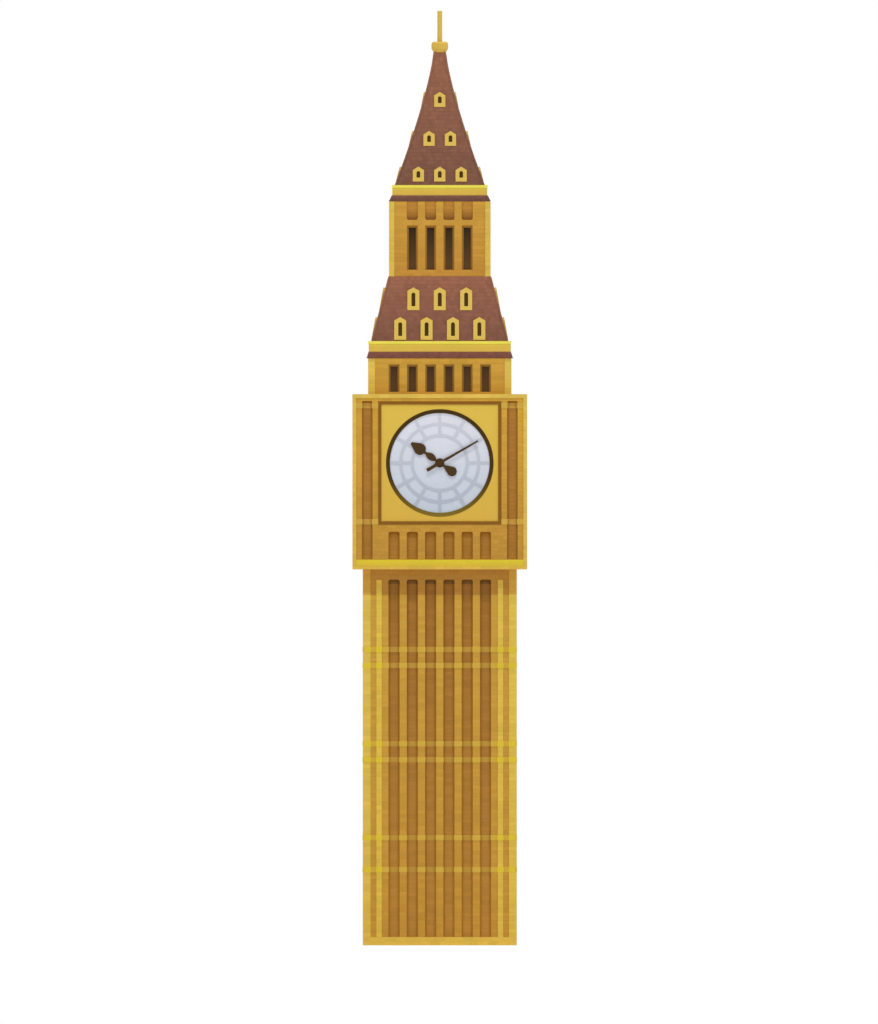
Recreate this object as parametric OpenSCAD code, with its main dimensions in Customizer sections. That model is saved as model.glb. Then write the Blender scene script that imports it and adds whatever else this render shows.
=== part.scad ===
// Clock tower with four dials, a glazed gallery, a lantern and a hipped spire,
// as a scale model at one tenth of the real height. Lengths are in millimetres.
// Origin: ground level on the tower's axis. +Z is up and the front faces -Y.
// The four sides are numbered 0 front, 1 right, 2 back and 3 left.

/* [Shaft] */
// Width of the shaft over its corner piers
shaft_w = 1580; // [1540:5:1640]
// Height of the shaft walls above the plinth
shaft_h = 3776; // [3000:4:4600]
// Thickness of the shaft walls
shaft_wall_t = 120; // [90:5:160]
// Height of the plinth
plinth_h = 86; // [60:2:140]
// Width of the square corner piers
shaft_pier_w = 80; // [60:2:100]
// Width of the pilaster strip beside each corner pier
pilaster_w = 57; // [40:1:70]
// Distance from the shaft's edge to the pilaster
pilaster_inset = 138; // [110:1:150]
// Height of the plain band over the blind bays
head_band_h = 104; // [60:2:160]

/* [Blind bays] */
// Number of bays across each side of the shaft and the gallery
bay_count = 6; // [4:1:6]
// Width of plain wall between a pilaster and the field of bays
bay_field_inset = 31; // [20:1:50]
// Width of a blind bay
recess_w = 114; // [90:2:130]
// Depth of a blind bay
recess_depth = 28; // [18:1:45]
// Radius of the bay's upper corners
recess_corner_r = 20; // [16:1:36]
// Width of the sunk rim round a blind bay
rim_w = 13; // [6:1:14]
// Depth of that rim
rim_depth = 12; // [6:1:16]
// How far the piers stand forward of the wall faces
relief = 8; // [4:1:14]

/* [String courses] */
// Height of a string course
string_h = 55; // [30:1:80]
// Distance from the shaft's edge to the end of a string course
string_end_inset = 17; // [8:1:40]
// How far a string course stands forward of the wall that it follows
string_proud = 4; // [2:1:8]

/* [Clock stage] */
// How far the clock stage stands out over the shaft
stage_overhang = 106.5; // [60:0.5:160]
// Height of the moulding under the clock stage
clock_base_h = 35; // [20:1:60]
// Thickness of the clock stage walls
clock_wall_t = 120; // [90:5:160]
// Width of the clock stage's square corner piers
clock_pier_w = 38; // [26:1:60]
// Height of the gilded band at the foot of the clock stage
clock_band_h = 65; // [40:1:90]
// How far the bands stand forward of the clock stage wall
band_proud = 5; // [2:1:7]
// Height of the plain joint between the gilded band and the panels
panel_lift = 6; // [2:1:12]
// Height of the blind panels under the dial
clock_panel_h = 281; // [200:1:360]
// Height of plain wall between those panels and the dial's frame
panel_gap = 74.5; // [40:0.5:120]
// Width of the side bay between the dial's frame and a corner pier
side_bay_w = 226; // [180:1:260]
// Width of the tall panel in a side bay
side_panel_w = 109; // [80:1:140]
// Distance from the tall panel's top to the coping
side_panel_top_gap = 27; // [15:1:50]
// Height of the bands that cross the tall panels
side_band_h = 58; // [30:1:80]
// Height of the coping over the clock stage, which is the gallery's floor
coping_h = 41; // [30:1:60]

/* [Dial] */
// Width of the border of the square frame round the dial
frame_border = 33; // [20:1:45]
// How far the square frame stands forward of the wall
frame_t = 6; // [3:1:8]
// Distance from the square frame's top to the coping
frame_top_gap = 32.5; // [20:0.5:60]
// Distance between the square frame and the round dial
dial_margin = 47; // [30:1:70]
// Thickness of the plate between the square frame and the round dial
surround_t = 42; // [38:1:70]
// How far that plate lies behind the wall face
surround_sink = 2; // [1:1:6]
// Width of the dark ring round the dial
ring_w = 40; // [25:1:55]
// Width of the ring's flat front edge
ring_lip = 6; // [3:1:12]
// Height of the ring's inner edge above the glass
ring_inner_h = 8; // [5:1:12]
// Depth of the glass behind the wall face
glass_depth = 26; // [24:1:34]
// Thickness of the dial glass
glass_t = 10; // [6:1:12]
// Distance from the dark ring to the outer tracery ring
tracery_outer_inset = 96.5; // [70:0.5:120]
// Distance from the dark ring to the inner tracery ring
tracery_inner_inset = 214.5; // [180:0.5:240]
// Width of the tracery rings
tracery_w = 31; // [15:1:40]
// Width of the tracery's spokes
spoke_w = 33; // [15:1:40]
// Number of spokes
spoke_count = 12; // [8:4:24]
// Thickness of the tracery
tracery_t = 4; // [2:1:4]

/* [Hands] */
// Thickness of a hand
hand_t = 6; // [4:1:6]
// Free space between the tracery and the hour hand, and between the hands
hand_gap = 6; // [5:1:6]
// How far the hour hand reaches past the inner tracery ring's outer edge
hour_tip_reach = 60; // [30:1:90]
// Distance from the hour hand's tip to the middle of its drop-shaped head
hour_head_back = 110; // [90:1:130]
// Radius of the hour hand's head
hour_head_r = 60; // [40:1:70]
// Width of the hour hand's blunt tip
hour_tip_w = 22; // [12:1:30]
// Width of the hour hand's stem
hour_stem_w = 26; // [16:1:40]
// Distance from the axis to the middle of the small leaf
hour_leaf_at = 110; // [90:2:130]
// Length of the small leaf
hour_leaf_l = 130; // [100:2:150]
// Width of the small leaf
hour_leaf_w = 72; // [50:1:90]
// Length of the hour hand's drop-shaped counterweight, from the axis
hour_tail_l = 202; // [170:1:230]
// Radius of the counterweight
hour_tail_r = 50; // [36:1:56]
// Distance from the axis to the counterweight's neck
hour_tail_neck = 58; // [48:1:70]
// Radius of the hour hand's hub
hour_hub_r = 47; // [36:1:60]
// Distance from the minute hand's tip to the dark ring
minute_tip_gap = 58.5; // [30:0.5:90]
// Width of the minute hand at its root
minute_root_w = 29; // [20:1:40]
// Width of the minute hand at its tip
minute_tip_w = 16; // [8:1:24]
// Length of the minute hand's tail
minute_tail_l = 153; // [100:1:200]
// Width of the tail's flared end
minute_tail_w = 36; // [24:1:60]
// Radius of the minute hand's hub
minute_hub_r = 32; // [26:1:40]
// Radius of the cap in front of the minute hand
cap_r = 24; // [18:1:25]
// Height of that cap
cap_h = 4; // [2:1:5]
// Outer radius of the hour hand's pipe
pipe_r = 24; // [20:1:28]
// Radius of the minute hand's arbor
arbor_r = 16; // [10:1:18]
// Length of pipe and arbor behind the glass
pipe_tail_l = 25; // [15:1:40]
// Running clearance round the pipe and the arbor
running_gap = 0.3; // [0.1:0.1:0.5]

/* [Windows] */
// Width of the splay beside a window
splay_w = 20; // [8:1:24]
// Height of the splay over a window
splay_head_h = 25; // [8:1:30]
// Depth of the splay
splay_depth = 20; // [8:1:24]
// Depth of the window panes behind the wall face
pane_sink = 25; // [25:1:30]
// Thickness of the window panes
pane_t = 10; // [6:1:12]

/* [Gallery] */
// How far the gallery stands back from the clock stage's edge
gallery_setback = 161; // [140:1:200]
// Width of the gallery's corner piers
gallery_pier_w = 70; // [66:1:90]
// Thickness of the gallery walls
gallery_wall_t = 55; // [44:1:57]
// Width of plain wall between a corner pier and the field of windows
gallery_field_inset = 101.5; // [60:0.5:120]
// Width of a gallery window
gallery_window_w = 73; // [50:1:100]
// Height of a gallery window
gallery_window_h = 260; // [200:1:320]
// Height of the sill under the gallery windows
gallery_sill_h = 24; // [12:1:40]
// Height of the lintel over the gallery windows
gallery_lintel_h = 60; // [40:1:90]

/* [Lower roof] */
// Height of the tiled skirt under the lower cornice
lower_eaves_h = 69; // [50:1:90]
// How far that skirt stands out over the gallery
lower_eaves_overhang = 15.5; // [8:0.5:30]
// How far that skirt draws in towards its top
lower_eaves_batter = 20; // [10:1:30]
// Height of the lower cornice
lower_cornice_h = 108; // [80:1:140]
// Height of the bright fillet along the top of both cornices
fillet_h = 28; // [16:1:40]
// How far that fillet stands forward of the cornice
fillet_proud = 5; // [2:1:8]
// How far the lower roof's foot stands back from the cornice's edge
lower_roof_inset = 36.5; // [20:0.5:50]
// Height of the lower roof, with the lantern's floor
lower_roof_h = 664; // [600:2:800]
// How far the lower roof draws in towards its top
lower_roof_run = 176; // [140:1:200]
// Thickness of the roof slopes, measured level
roof_t = 40; // [30:1:45]
// Width of the hip ribs
hip_w = 24; // [14:1:26]
// How far the hip ribs stand out of the slopes
hip_proud = 5; // [2:1:9]

/* [Lantern] */
// Thickness of the lantern's floor
lantern_floor_h = 30; // [20:1:50]
// Width of the ledge round the lantern's foot
lantern_ledge = 2; // [1:1:10]
// Width of the lantern's corner piers
lantern_pier_w = 55; // [52:1:70]
// Thickness of the lantern walls
lantern_wall_t = 42; // [40:1:43]
// Number of windows on each side of the lantern
lantern_count = 4; // [2:1:4]
// Width of plain wall between a corner pier and the field of windows
lantern_field_inset = 90; // [60:1:110]
// Width of a lantern window
lantern_window_w = 73; // [50:1:90]
// Height of a lantern window
lantern_window_h = 432; // [360:1:520]
// Height of the sill under the lantern windows
lantern_sill_h = 69; // [40:1:90]
// Height of plain wall between the windows and the blind panels over them
lantern_mid_h = 56; // [30:1:90]
// Width of the blind panels over the lantern windows
lantern_panel_w = 112; // [80:1:130]
// Height of those panels
lantern_panel_h = 190; // [120:1:240]
// Depth of those panels
lantern_panel_depth = 16; // [8:1:25]

/* [Spire] */
// Height of the tiled skirt under the upper cornice
upper_eaves_h = 61; // [45:1:80]
// How far that skirt stands out over the lantern
upper_eaves_overhang = 1; // [0:0.5:12]
// How far that skirt draws in towards its top
upper_eaves_batter = 29; // [10:1:34]
// Height of the upper cornice
upper_cornice_h = 106; // [80:1:140]
// How far the spire's foot stands back from the cornice's edge
spire_inset = 36; // [20:1:50]
// Height of the spire
spire_h = 1363; // [1200:1:1600]
// Width of the spire at its top
spire_top_w = 119; // [112:1:126]
// Height of the knob at the foot of the finial
knob_h = 111; // [80:1:140]
// Greatest diameter of the knob
knob_d = 171; // [150:1:190]
// Diameter of the knob's foot
knob_foot_d = 128; // [118:1:140]
// Radius of the knob's upper edge
knob_edge_r = 30; // [15:1:36]
// Height of the finial's rod above the knob
rod_h = 315; // [200:1:400]
// Diameter of the finial's rod
rod_d = 50; // [30:1:60]

/* [Dormers] */
// Distance from the lower roof's edge to the field of dormers
lower_dormer_inset = 157; // [120:1:190]
// Width of a dormer on the lower roof
lower_dormer_w = 123; // [100:1:150]
// Height of a dormer on the lower roof
lower_dormer_h = 238; // [200:1:260]
// Width of a lower dormer's window
lower_light_w = 40; // [24:1:56]
// Height of a lower dormer's window
lower_light_h = 142; // [90:1:150]
// Distance from the spire's edge to the field of dormers
spire_dormer_inset = 127; // [100:1:150]
// Width of a dormer on the spire
spire_dormer_w = 115; // [90:1:130]
// Height of a dormer on the spire
spire_dormer_h = 157; // [130:1:170]
// Width of a spire dormer's window
spire_light_w = 38; // [24:1:52]
// Height of a spire dormer's window
spire_light_h = 70; // [50:1:80]
// Height of a dormer's gable
dormer_gable_h = 36; // [20:1:50]
// Height of the sill under a dormer's window
dormer_sill_h = 41; // [25:1:45]
// How far a dormer's foot stands out of the roof
dormer_proud = 8; // [5:1:16]
// Depth of a dormer's window pane behind its front
dormer_pane_sink = 6; // [3:1:10]
// Depth of the dormer block before the roof cuts it
dormer_depth = 95; // [90:1:110]

/* [Hidden] */
$fn = 64;

// Cuts run past the faces that they open by this much
overrun = 10;

// Colours of the materials
trim_gold = [0.84, 0.70, 0.28];
bright_gold = [0.84, 0.75, 0.19];
wall_gold = [0.75, 0.57, 0.23];
roof_brown = [0.56, 0.36, 0.29];
dark_bronze = [0.31, 0.21, 0.11];
frame_brown = [0.52, 0.34, 0.11];
opal_white = [0.82, 0.83, 0.88];
tracery_grey = [0.71, 0.75, 0.80];
pane_dark = [0.27, 0.20, 0.13];

// The hands show ten minutes past ten, in degrees clockwise from twelve
hour_angle = 305;
minute_angle = 60;

// Heights of the string courses' undersides, as shares of the shaft's height
string_shares = [0.176, 0.263, 0.475, 0.5185, 0.7315, 0.775];
// Rows of dormers: the number across each row, and the height as a share of the roof's height
lower_dormer_counts = [4, 3];
lower_dormer_shares = [0.02, 0.479];
spire_dormer_counts = [3, 2, 1];
spire_dormer_shares = [0.027, 0.296, 0.589];
// The spire's half-width falls with this power of the height that is left
spire_curve = 1.3;
spire_step_count = 12;
// Lean of a dormer's front as a share of the roof's slope
dormer_lean_share = 0.7;
// Height of the widest part of the finial's knob, as a share of its height
knob_widest_share = 0.35;

// Widths that follow from the shaft's width
clock_w = shaft_w + 2 * stage_overhang;
frame_w = clock_w - 2 * (clock_pier_w + side_bay_w);
hole_w = frame_w - 2 * frame_border;
dial_d = hole_w - 2 * dial_margin;
glass_r = dial_d / 2 - ring_w;
tracery_outer_r = glass_r - tracery_outer_inset;
tracery_inner_r = glass_r - tracery_inner_inset;
gallery_w = clock_w - 2 * gallery_setback;
lower_eaves_foot_w = gallery_w + 2 * lower_eaves_overhang;
lower_eaves_top_w = lower_eaves_foot_w - 2 * lower_eaves_batter;
lower_roof_foot_w = gallery_w - 2 * lower_roof_inset;
lower_roof_top_w = lower_roof_foot_w - 2 * lower_roof_run;
lantern_w = lower_roof_top_w - 2 * lantern_ledge;
upper_eaves_foot_w = lantern_w + 2 * upper_eaves_overhang;
upper_cornice_w = upper_eaves_foot_w - 2 * upper_eaves_batter;
spire_foot_w = upper_cornice_w - 2 * spire_inset;

// Distances between neighbouring bays, windows and dormers
bay_pitch = (shaft_w - 2 * (pilaster_inset + pilaster_w + bay_field_inset)) / bay_count;
gallery_pitch = (gallery_w - 2 * (gallery_pier_w + gallery_field_inset)) / bay_count;
lantern_pitch = (lantern_w - 2 * (lantern_pier_w + lantern_field_inset)) / lantern_count;
lower_dormer_pitch = (lower_roof_foot_w - 2 * lower_dormer_inset) / lower_dormer_counts[0];
spire_dormer_pitch = (spire_foot_w - 2 * spire_dormer_inset) / spire_dormer_counts[0];

// Lengths of the hands
hour_l = tracery_inner_r + hour_tip_reach;
minute_l = glass_r - minute_tip_gap;

// Heights of the stages
frame_lift = clock_band_h + panel_lift + clock_panel_h + panel_gap;
clock_wall_h = frame_lift + frame_w + frame_top_gap;
gallery_h = gallery_sill_h + gallery_window_h + splay_head_h + gallery_lintel_h;
lantern_h = lantern_sill_h + lantern_window_h + splay_head_h + lantern_mid_h
    + lantern_panel_h;

// Levels, from the ground up
shaft_z = plinth_h;
stage_z = shaft_z + shaft_h;
clock_z = stage_z + clock_base_h;
coping_z = clock_z + clock_wall_h;
gallery_z = coping_z + coping_h;
eaves_z = gallery_z + gallery_h;
cornice_z = eaves_z + lower_eaves_h;
roof_z = cornice_z + lower_cornice_h;
lantern_z = roof_z + lower_roof_h;
lantern_floor_z = lantern_z - lantern_floor_h;
upper_eaves_z = lantern_z + lantern_h;
upper_cornice_z = upper_eaves_z + upper_eaves_h;
spire_z = upper_cornice_z + upper_cornice_h;
finial_z = spire_z + spire_h;
dial_z = clock_z + frame_lift + frame_w / 2;
panel_z = clock_z + clock_band_h + panel_lift;

// Distances of the faces from the tower's axis
shaft_face = shaft_w / 2 - relief;
shaft_inner = shaft_face - shaft_wall_t;
shaft_edge = shaft_w / 2 - shaft_pier_w;
clock_face = clock_w / 2 - relief;
clock_inner = clock_face - clock_wall_t;
clock_edge = clock_w / 2 - clock_pier_w;
gallery_face = gallery_w / 2 - relief;
gallery_edge = gallery_w / 2 - gallery_pier_w;
lantern_face = lantern_w / 2 - relief;
lantern_edge = lantern_w / 2 - lantern_pier_w;
lower_roof_inner = lower_roof_foot_w / 2 - roof_t;
spire_inner = spire_foot_w / 2 - roof_t;

// Distances of the dial's layers from the tower's axis
glass_face = clock_face - glass_depth;
hour_back = glass_face + tracery_t + hand_gap;
minute_back = hour_back + hand_t + hand_gap;
pipe_back = glass_face - glass_t - pipe_tail_l;

// Half-widths of the two roofs at a share of their heights
function between(a, b, share) = a + (b - a) * share;
function lower_half(share) = between(lower_roof_foot_w, lower_roof_top_w, share) / 2;
function spire_half(share) =
    between(spire_top_w, spire_foot_w, pow(1 - share, spire_curve)) / 2;
lantern_floor_share = 1 - lantern_floor_h / lower_roof_h;

// Outlines of one roof side, as distance from the axis and height
lower_line = [[-lower_half(0), roof_z], [-lower_half(lantern_floor_share), lantern_floor_z]];
spire_line = [for (i = [0 : spire_step_count])
    let (share = i / spire_step_count) [-spire_half(share), spire_z + spire_h * share]];
function backwards(list) = [for (i = [len(list) - 1 : -1 : 0]) list[i]];
function shifted(line, by) = [for (p = line) [p[0] + by, p[1]]];
function mirrored(line) = concat(line, [for (p = backwards(line)) [-p[0], p[1]]]);
// The same line, carried past both its ends
function carried_past(line) = concat(
    [[line[0][0], line[0][1] - overrun]], line,
    [[line[len(line) - 1][0], line[len(line) - 1][1] + overrun]]);

// Places of a row of like things, centred on zero
function row(count, pitch) = [for (i = [0 : count - 1]) (i - (count - 1) / 2) * pitch];

// Steps of a wall's surface in plan: the place along the side, and the distances from the
// tower's axis before it and after it
function bay_steps(x, face, width) = [
    [x - width / 2, face, face - rim_depth],
    [x - width / 2 + rim_w, face - rim_depth, face - recess_depth],
    [x + width / 2 - rim_w, face - recess_depth, face - rim_depth],
    [x + width / 2, face - rim_depth, face]];
function strip_steps(x, width, face, front) = [
    [x - width / 2, face, front], [x + width / 2, front, face]];
// The surface line through those steps, moved out of the wall
function surface_line(steps, start, end, by) = concat(
    [[start, -steps[0][1] - by]],
    [for (s = steps)
        let (x = s[0] - sign(s[2] - s[1]) * by)
        each [[x, -s[1] - by], [x, -s[2] - by]]],
    [[end, -steps[len(steps) - 1][2] - by]]);

module on_side(i) {
    rotate([0, 0, 90 * i]) children();
}

module on_sides() {
    for (i = [0 : 3]) on_side(i) children();
}

// A profile of distance and height, drawn out level along a side of the tower
module drawn_out(profile, length) {
    rotate([90, 0, 90]) linear_extrude(length, center = true) polygon(profile);
}

// A flat shape stood upright, with its back at a distance from the axis
module stood_up(distance, thickness) {
    translate([0, -distance, 0]) rotate([90, 0, 0]) linear_extrude(thickness) children();
}

// A bar along a side, from one distance to another
module bar(length, inner, outer, z, height) {
    translate([-length / 2, -outer, z]) cube([length, outer - inner, height]);
}

// A band laid on a wall, which follows its surface at an even thickness
module band_on_wall(steps, start, end, thickness, z, height) {
    translate([0, 0, z]) linear_extrude(height)
        polygon(concat(surface_line(steps, start, end, 0),
                       backwards(surface_line(steps, start, end, thickness))));
}

module corner_piers(width, pier_w, z, height) {
    on_sides()
        translate([width / 2 - pier_w, -width / 2, z]) cube([pier_w, pier_w, height]);
}

// Square block with sloping sides
module tapered_block(foot_w, top_w, z, height) {
    profile = mirrored([[-foot_w / 2, z], [-top_w / 2, z + height]]);
    length = max(foot_w, top_w) + overrun;
    intersection() {
        drawn_out(profile, length);
        on_side(1) drawn_out(profile, length);
    }
}

module square_well(half, z, height) {
    translate([-half, -half, z - overrun]) cube([2 * half, 2 * half, height + 2 * overrun]);
}

module square_ring(width, inner_half, z, height) {
    difference() {
        translate([-width / 2, -width / 2, z]) cube([width, width, height]);
        square_well(inner_half, z, height);
    }
}

// Wall of one side in plan, mitred behind the corner piers
module wall_block(face, inner, edge, z, height) {
    translate([0, 0, z]) linear_extrude(height)
        polygon([[-edge, -face], [edge, -face], [edge, -edge],
                 [inner, -inner], [-inner, -inner], [-edge, -edge]]);
}

// Upright panel with two rounded upper corners, standing on its lower edge
module panel_shape(width, height, corner_r) {
    translate([-width / 2, 0]) square([width, height - corner_r]);
    translate([corner_r - width / 2, 0]) square([width - 2 * corner_r, height]);
    for (s = [-1, 1])
        translate([s * (width / 2 - corner_r), height - corner_r]) circle(corner_r);
}

// Cut for a blind bay in a wall face, with a sunk rim at its sides and head
module bay_cut(x, z, face, width, height) {
    translate([x, 0, z]) {
        stood_up(face - rim_depth, rim_depth + overrun)
            panel_shape(width, height, recess_corner_r);
        stood_up(face - recess_depth, recess_depth + overrun)
            panel_shape(width - 2 * rim_w, height - rim_w, recess_corner_r - rim_w);
    }
}

// Cut for a window: a straight opening, splayed towards the front at its sides and head
module window_cut(x, z, face, wall_t, width, height) {
    half = width / 2;
    splay_half = half + splay_w;
    splay_top = height + splay_head_h;
    translate([x, 0, 0])
        bar(width, face - wall_t - overrun, face + overrun, z, height);
    translate([x, -face, z]) intersection() {
        linear_extrude(splay_top)
            polygon([[-splay_half, -overrun], [-splay_half, 0], [-half, splay_depth],
                     [half, splay_depth], [splay_half, 0], [splay_half, -overrun]]);
        drawn_out([[-overrun, 0], [splay_depth, 0], [splay_depth, height],
                   [0, splay_top], [-overrun, splay_top]], 2 * splay_half + overrun);
    }
}

module window_pane(x, z, face, width, height) {
    translate([x, 0, 0])
        bar(width, face - pane_sink - pane_t, face - pane_sink, z, height);
}

// Pointed oval with two round edges
module leaf_shape(length, width) {
    r = (length * length + width * width) / (4 * width);
    intersection_for (s = [-1, 1]) translate([s * (r - width / 2), 0]) circle(r, $fn = 128);
}

// Shaft

module plinth() {
    color(trim_gold) square_ring(shaft_w, shaft_inner, 0, plinth_h);
}

module shaft_wall(i) {
    color(wall_gold) on_side(i) difference() {
        wall_block(shaft_face, shaft_inner, shaft_edge, shaft_z, shaft_h);
        for (x = row(bay_count, bay_pitch))
            bay_cut(x, shaft_z - overrun, shaft_face, recess_w,
                    shaft_h - head_band_h + overrun);
    }
}

module shaft_corner_piers() {
    color(trim_gold) corner_piers(shaft_w, shaft_pier_w, shaft_z, shaft_h);
}

pilaster_x = shaft_w / 2 - pilaster_inset - pilaster_w / 2;

module shaft_pilasters() {
    color(trim_gold) on_sides() for (s = [-1, 1]) translate([s * pilaster_x, 0, 0])
        bar(pilaster_w, shaft_face, shaft_w / 2, shaft_z, shaft_h - head_band_h);
}

// Surface of one side of the shaft, from corner pier to corner pier
shaft_steps = concat(
    [[-shaft_edge, shaft_w / 2, shaft_face]],
    strip_steps(-pilaster_x, pilaster_w, shaft_face, shaft_w / 2),
    [for (x = row(bay_count, bay_pitch)) each bay_steps(x, shaft_face, recess_w)],
    strip_steps(pilaster_x, pilaster_w, shaft_face, shaft_w / 2),
    [[shaft_edge, shaft_face, shaft_w / 2]]);

module string_courses() {
    end = shaft_w / 2 - string_end_inset;
    color(wall_gold) on_sides() for (share = string_shares)
        band_on_wall(shaft_steps, -end, end, string_proud,
                     shaft_z + shaft_h * share, string_h);
}

// Clock stage

module clock_stage_base() {
    color(trim_gold) square_ring(clock_w, shaft_inner, stage_z, clock_base_h);
}

module clock_stage_band() {
    color(bright_gold) on_sides()
        bar(2 * clock_edge, clock_face, clock_face + band_proud, clock_z, clock_band_h);
}

// The tall panels stand midway between the square frame and the corner piers
side_panel_x = (frame_w / 2 + clock_edge) / 2;
side_panel_top = coping_z - side_panel_top_gap;

module clock_wall(i) {
    color(wall_gold) on_side(i) difference() {
        wall_block(clock_face, clock_inner, clock_edge, clock_z, clock_wall_h);
        translate([-hole_w / 2, -clock_face - overrun, dial_z - hole_w / 2])
            cube([hole_w, clock_wall_t + 2 * overrun, hole_w]);
        for (x = row(bay_count, bay_pitch))
            bay_cut(x, panel_z, clock_face, recess_w, clock_panel_h);
        for (s = [-1, 1])
            bay_cut(s * side_panel_x, panel_z, clock_face, side_panel_w,
                    side_panel_top - panel_z);
    }
}

module clock_corner_piers() {
    color(trim_gold) corner_piers(clock_w, clock_pier_w, clock_z, clock_wall_h);
}

module clock_side_bands() {
    half = (clock_edge - frame_w / 2) / 2;
    color(wall_gold) on_sides() for (s = [-1, 1])
        for (z = [dial_z - frame_w / 2, side_panel_top - recess_corner_r - side_band_h])
            band_on_wall(bay_steps(s * side_panel_x, clock_face, side_panel_w),
                         s * side_panel_x - half, s * side_panel_x + half, band_proud,
                         z, side_band_h);
}

module gallery_floor() {
    color(trim_gold) translate([-clock_w / 2, -clock_w / 2, coping_z])
        cube([clock_w, clock_w, coping_h]);
}

// Dials and hands

// Places a shape on a side, with its foot at a distance from the axis and the dial's centre
// as its own, so that its Z points out of the dial
module at_dial(i, distance) {
    on_side(i) translate([0, -distance, dial_z]) rotate([90, 0, 0]) children();
}

module dial_frames() {
    color(frame_brown) for (i = [0 : 3]) at_dial(i, clock_face) difference() {
        translate([-frame_w / 2, -frame_w / 2, 0]) cube([frame_w, frame_w, frame_t]);
        translate([-hole_w / 2, -hole_w / 2, -overrun])
            cube([hole_w, hole_w, frame_t + 2 * overrun]);
    }
}

module dial_surrounds() {
    color(trim_gold) for (i = [0 : 3])
        at_dial(i, clock_face - surround_sink - surround_t) difference() {
            translate([-hole_w / 2, -hole_w / 2, 0]) cube([hole_w, hole_w, surround_t]);
            translate([0, 0, -overrun])
                cylinder(h = surround_t + 2 * overrun, d = dial_d, $fn = 128);
        }
}

module dial_rings() {
    color(dark_bronze) for (i = [0 : 3]) at_dial(i, glass_face)
        rotate_extrude($fn = 128) polygon([
            [glass_r, 0], [dial_d / 2, 0], [dial_d / 2, glass_depth],
            [dial_d / 2 - ring_lip, glass_depth], [glass_r, ring_inner_h]]);
}

module dial_glasses() {
    color(opal_white) for (i = [0 : 3]) at_dial(i, glass_face - glass_t) difference() {
        cylinder(h = glass_t, d = dial_d, $fn = 128);
        translate([0, 0, -overrun])
            cylinder(h = glass_t + 2 * overrun, r = pipe_r + running_gap);
    }
}

module tracery_ring(outer_r) {
    difference() {
        circle(outer_r, $fn = 128);
        circle(outer_r - tracery_w, $fn = 128);
    }
}

module tracery_shape() {
    tracery_ring(tracery_outer_r);
    tracery_ring(tracery_inner_r);
    difference() {
        intersection() {
            for (k = [0 : spoke_count - 1])
                rotate(360 * k / spoke_count)
                    translate([-spoke_w / 2, 0]) square([spoke_w, dial_d]);
            circle(glass_r - running_gap, $fn = 128);
        }
        circle(tracery_inner_r - tracery_w / 2, $fn = 128);
    }
}

module dial_traceries() {
    color(tracery_grey) for (i = [0 : 3])
        at_dial(i, glass_face) linear_extrude(tracery_t) tracery_shape();
}

// Drop with a round end, and straight sides that run from it to a blunt tip
module drop_shape(centre, r, tip_at, tip_w) {
    toward = sign(tip_at - centre);
    angle = asin(r / abs(tip_at - centre));
    side_x = r * cos(angle);
    side_y = centre + toward * r * sin(angle);
    translate([0, centre]) circle(r);
    polygon([[-side_x, side_y], [-tip_w / 2, tip_at], [tip_w / 2, tip_at], [side_x, side_y]]);
}

module hour_shape() {
    head_at = hour_l - hour_head_back;
    drop_shape(head_at, hour_head_r, hour_l, hour_tip_w);
    translate([0, hour_leaf_at]) leaf_shape(hour_leaf_l, hour_leaf_w);
    drop_shape(hour_tail_r - hour_tail_l, hour_tail_r, -hour_tail_neck, hour_stem_w);
    translate([-hour_stem_w / 2, -hour_tail_neck])
        square([hour_stem_w, hour_tail_neck + head_at]);
    circle(hour_hub_r);
}

module hour_hand(i) {
    color(dark_bronze) at_dial(i, hour_back) difference() {
        union() {
            rotate([0, 0, -hour_angle]) linear_extrude(hand_t) hour_shape();
            translate([0, 0, pipe_back - hour_back])
                cylinder(h = hour_back - pipe_back + hand_t, r = pipe_r);
        }
        translate([0, 0, pipe_back - hour_back - overrun])
            cylinder(h = hour_back - pipe_back + hand_t + 2 * overrun,
                     r = arbor_r + running_gap);
    }
}

module minute_shape() {
    polygon([[-minute_root_w / 2, 0], [-minute_tail_w / 2, -minute_tail_l],
             [minute_tail_w / 2, -minute_tail_l], [minute_root_w / 2, 0],
             [minute_tip_w / 2, minute_l], [-minute_tip_w / 2, minute_l]]);
    circle(minute_hub_r);
}

module minute_hand(i) {
    color(dark_bronze) at_dial(i, minute_back) {
        rotate([0, 0, -minute_angle]) linear_extrude(hand_t) minute_shape();
        translate([0, 0, pipe_back - minute_back])
            cylinder(h = minute_back - pipe_back + hand_t, r = arbor_r);
        cylinder(h = hand_t + cap_h, r = cap_r);
    }
}

// Gallery

module gallery_corner_piers() {
    color(trim_gold) corner_piers(gallery_w, gallery_pier_w, gallery_z, gallery_h);
}

module gallery_walls() {
    color(wall_gold) on_sides() difference() {
        bar(2 * gallery_edge, gallery_face - gallery_wall_t, gallery_face,
            gallery_z, gallery_h);
        for (x = row(bay_count, gallery_pitch))
            window_cut(x, gallery_z + gallery_sill_h, gallery_face, gallery_wall_t,
                       gallery_window_w, gallery_window_h);
    }
}

// Lower roof

module lower_eaves() {
    color(roof_brown) difference() {
        tapered_block(lower_eaves_foot_w, lower_eaves_top_w, eaves_z, lower_eaves_h);
        square_well(lower_roof_inner, eaves_z, lower_eaves_h);
    }
}

// Cornice with a fillet along its top edge
module cornice(width, inner_half, z, height) {
    square_ring(width - 2 * fillet_proud, inner_half, z, height);
    square_ring(width, inner_half, z + height - fillet_h, fillet_h);
}

module lower_cornice() {
    color(bright_gold) cornice(gallery_w, lower_roof_inner, cornice_z, lower_cornice_h);
}

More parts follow.
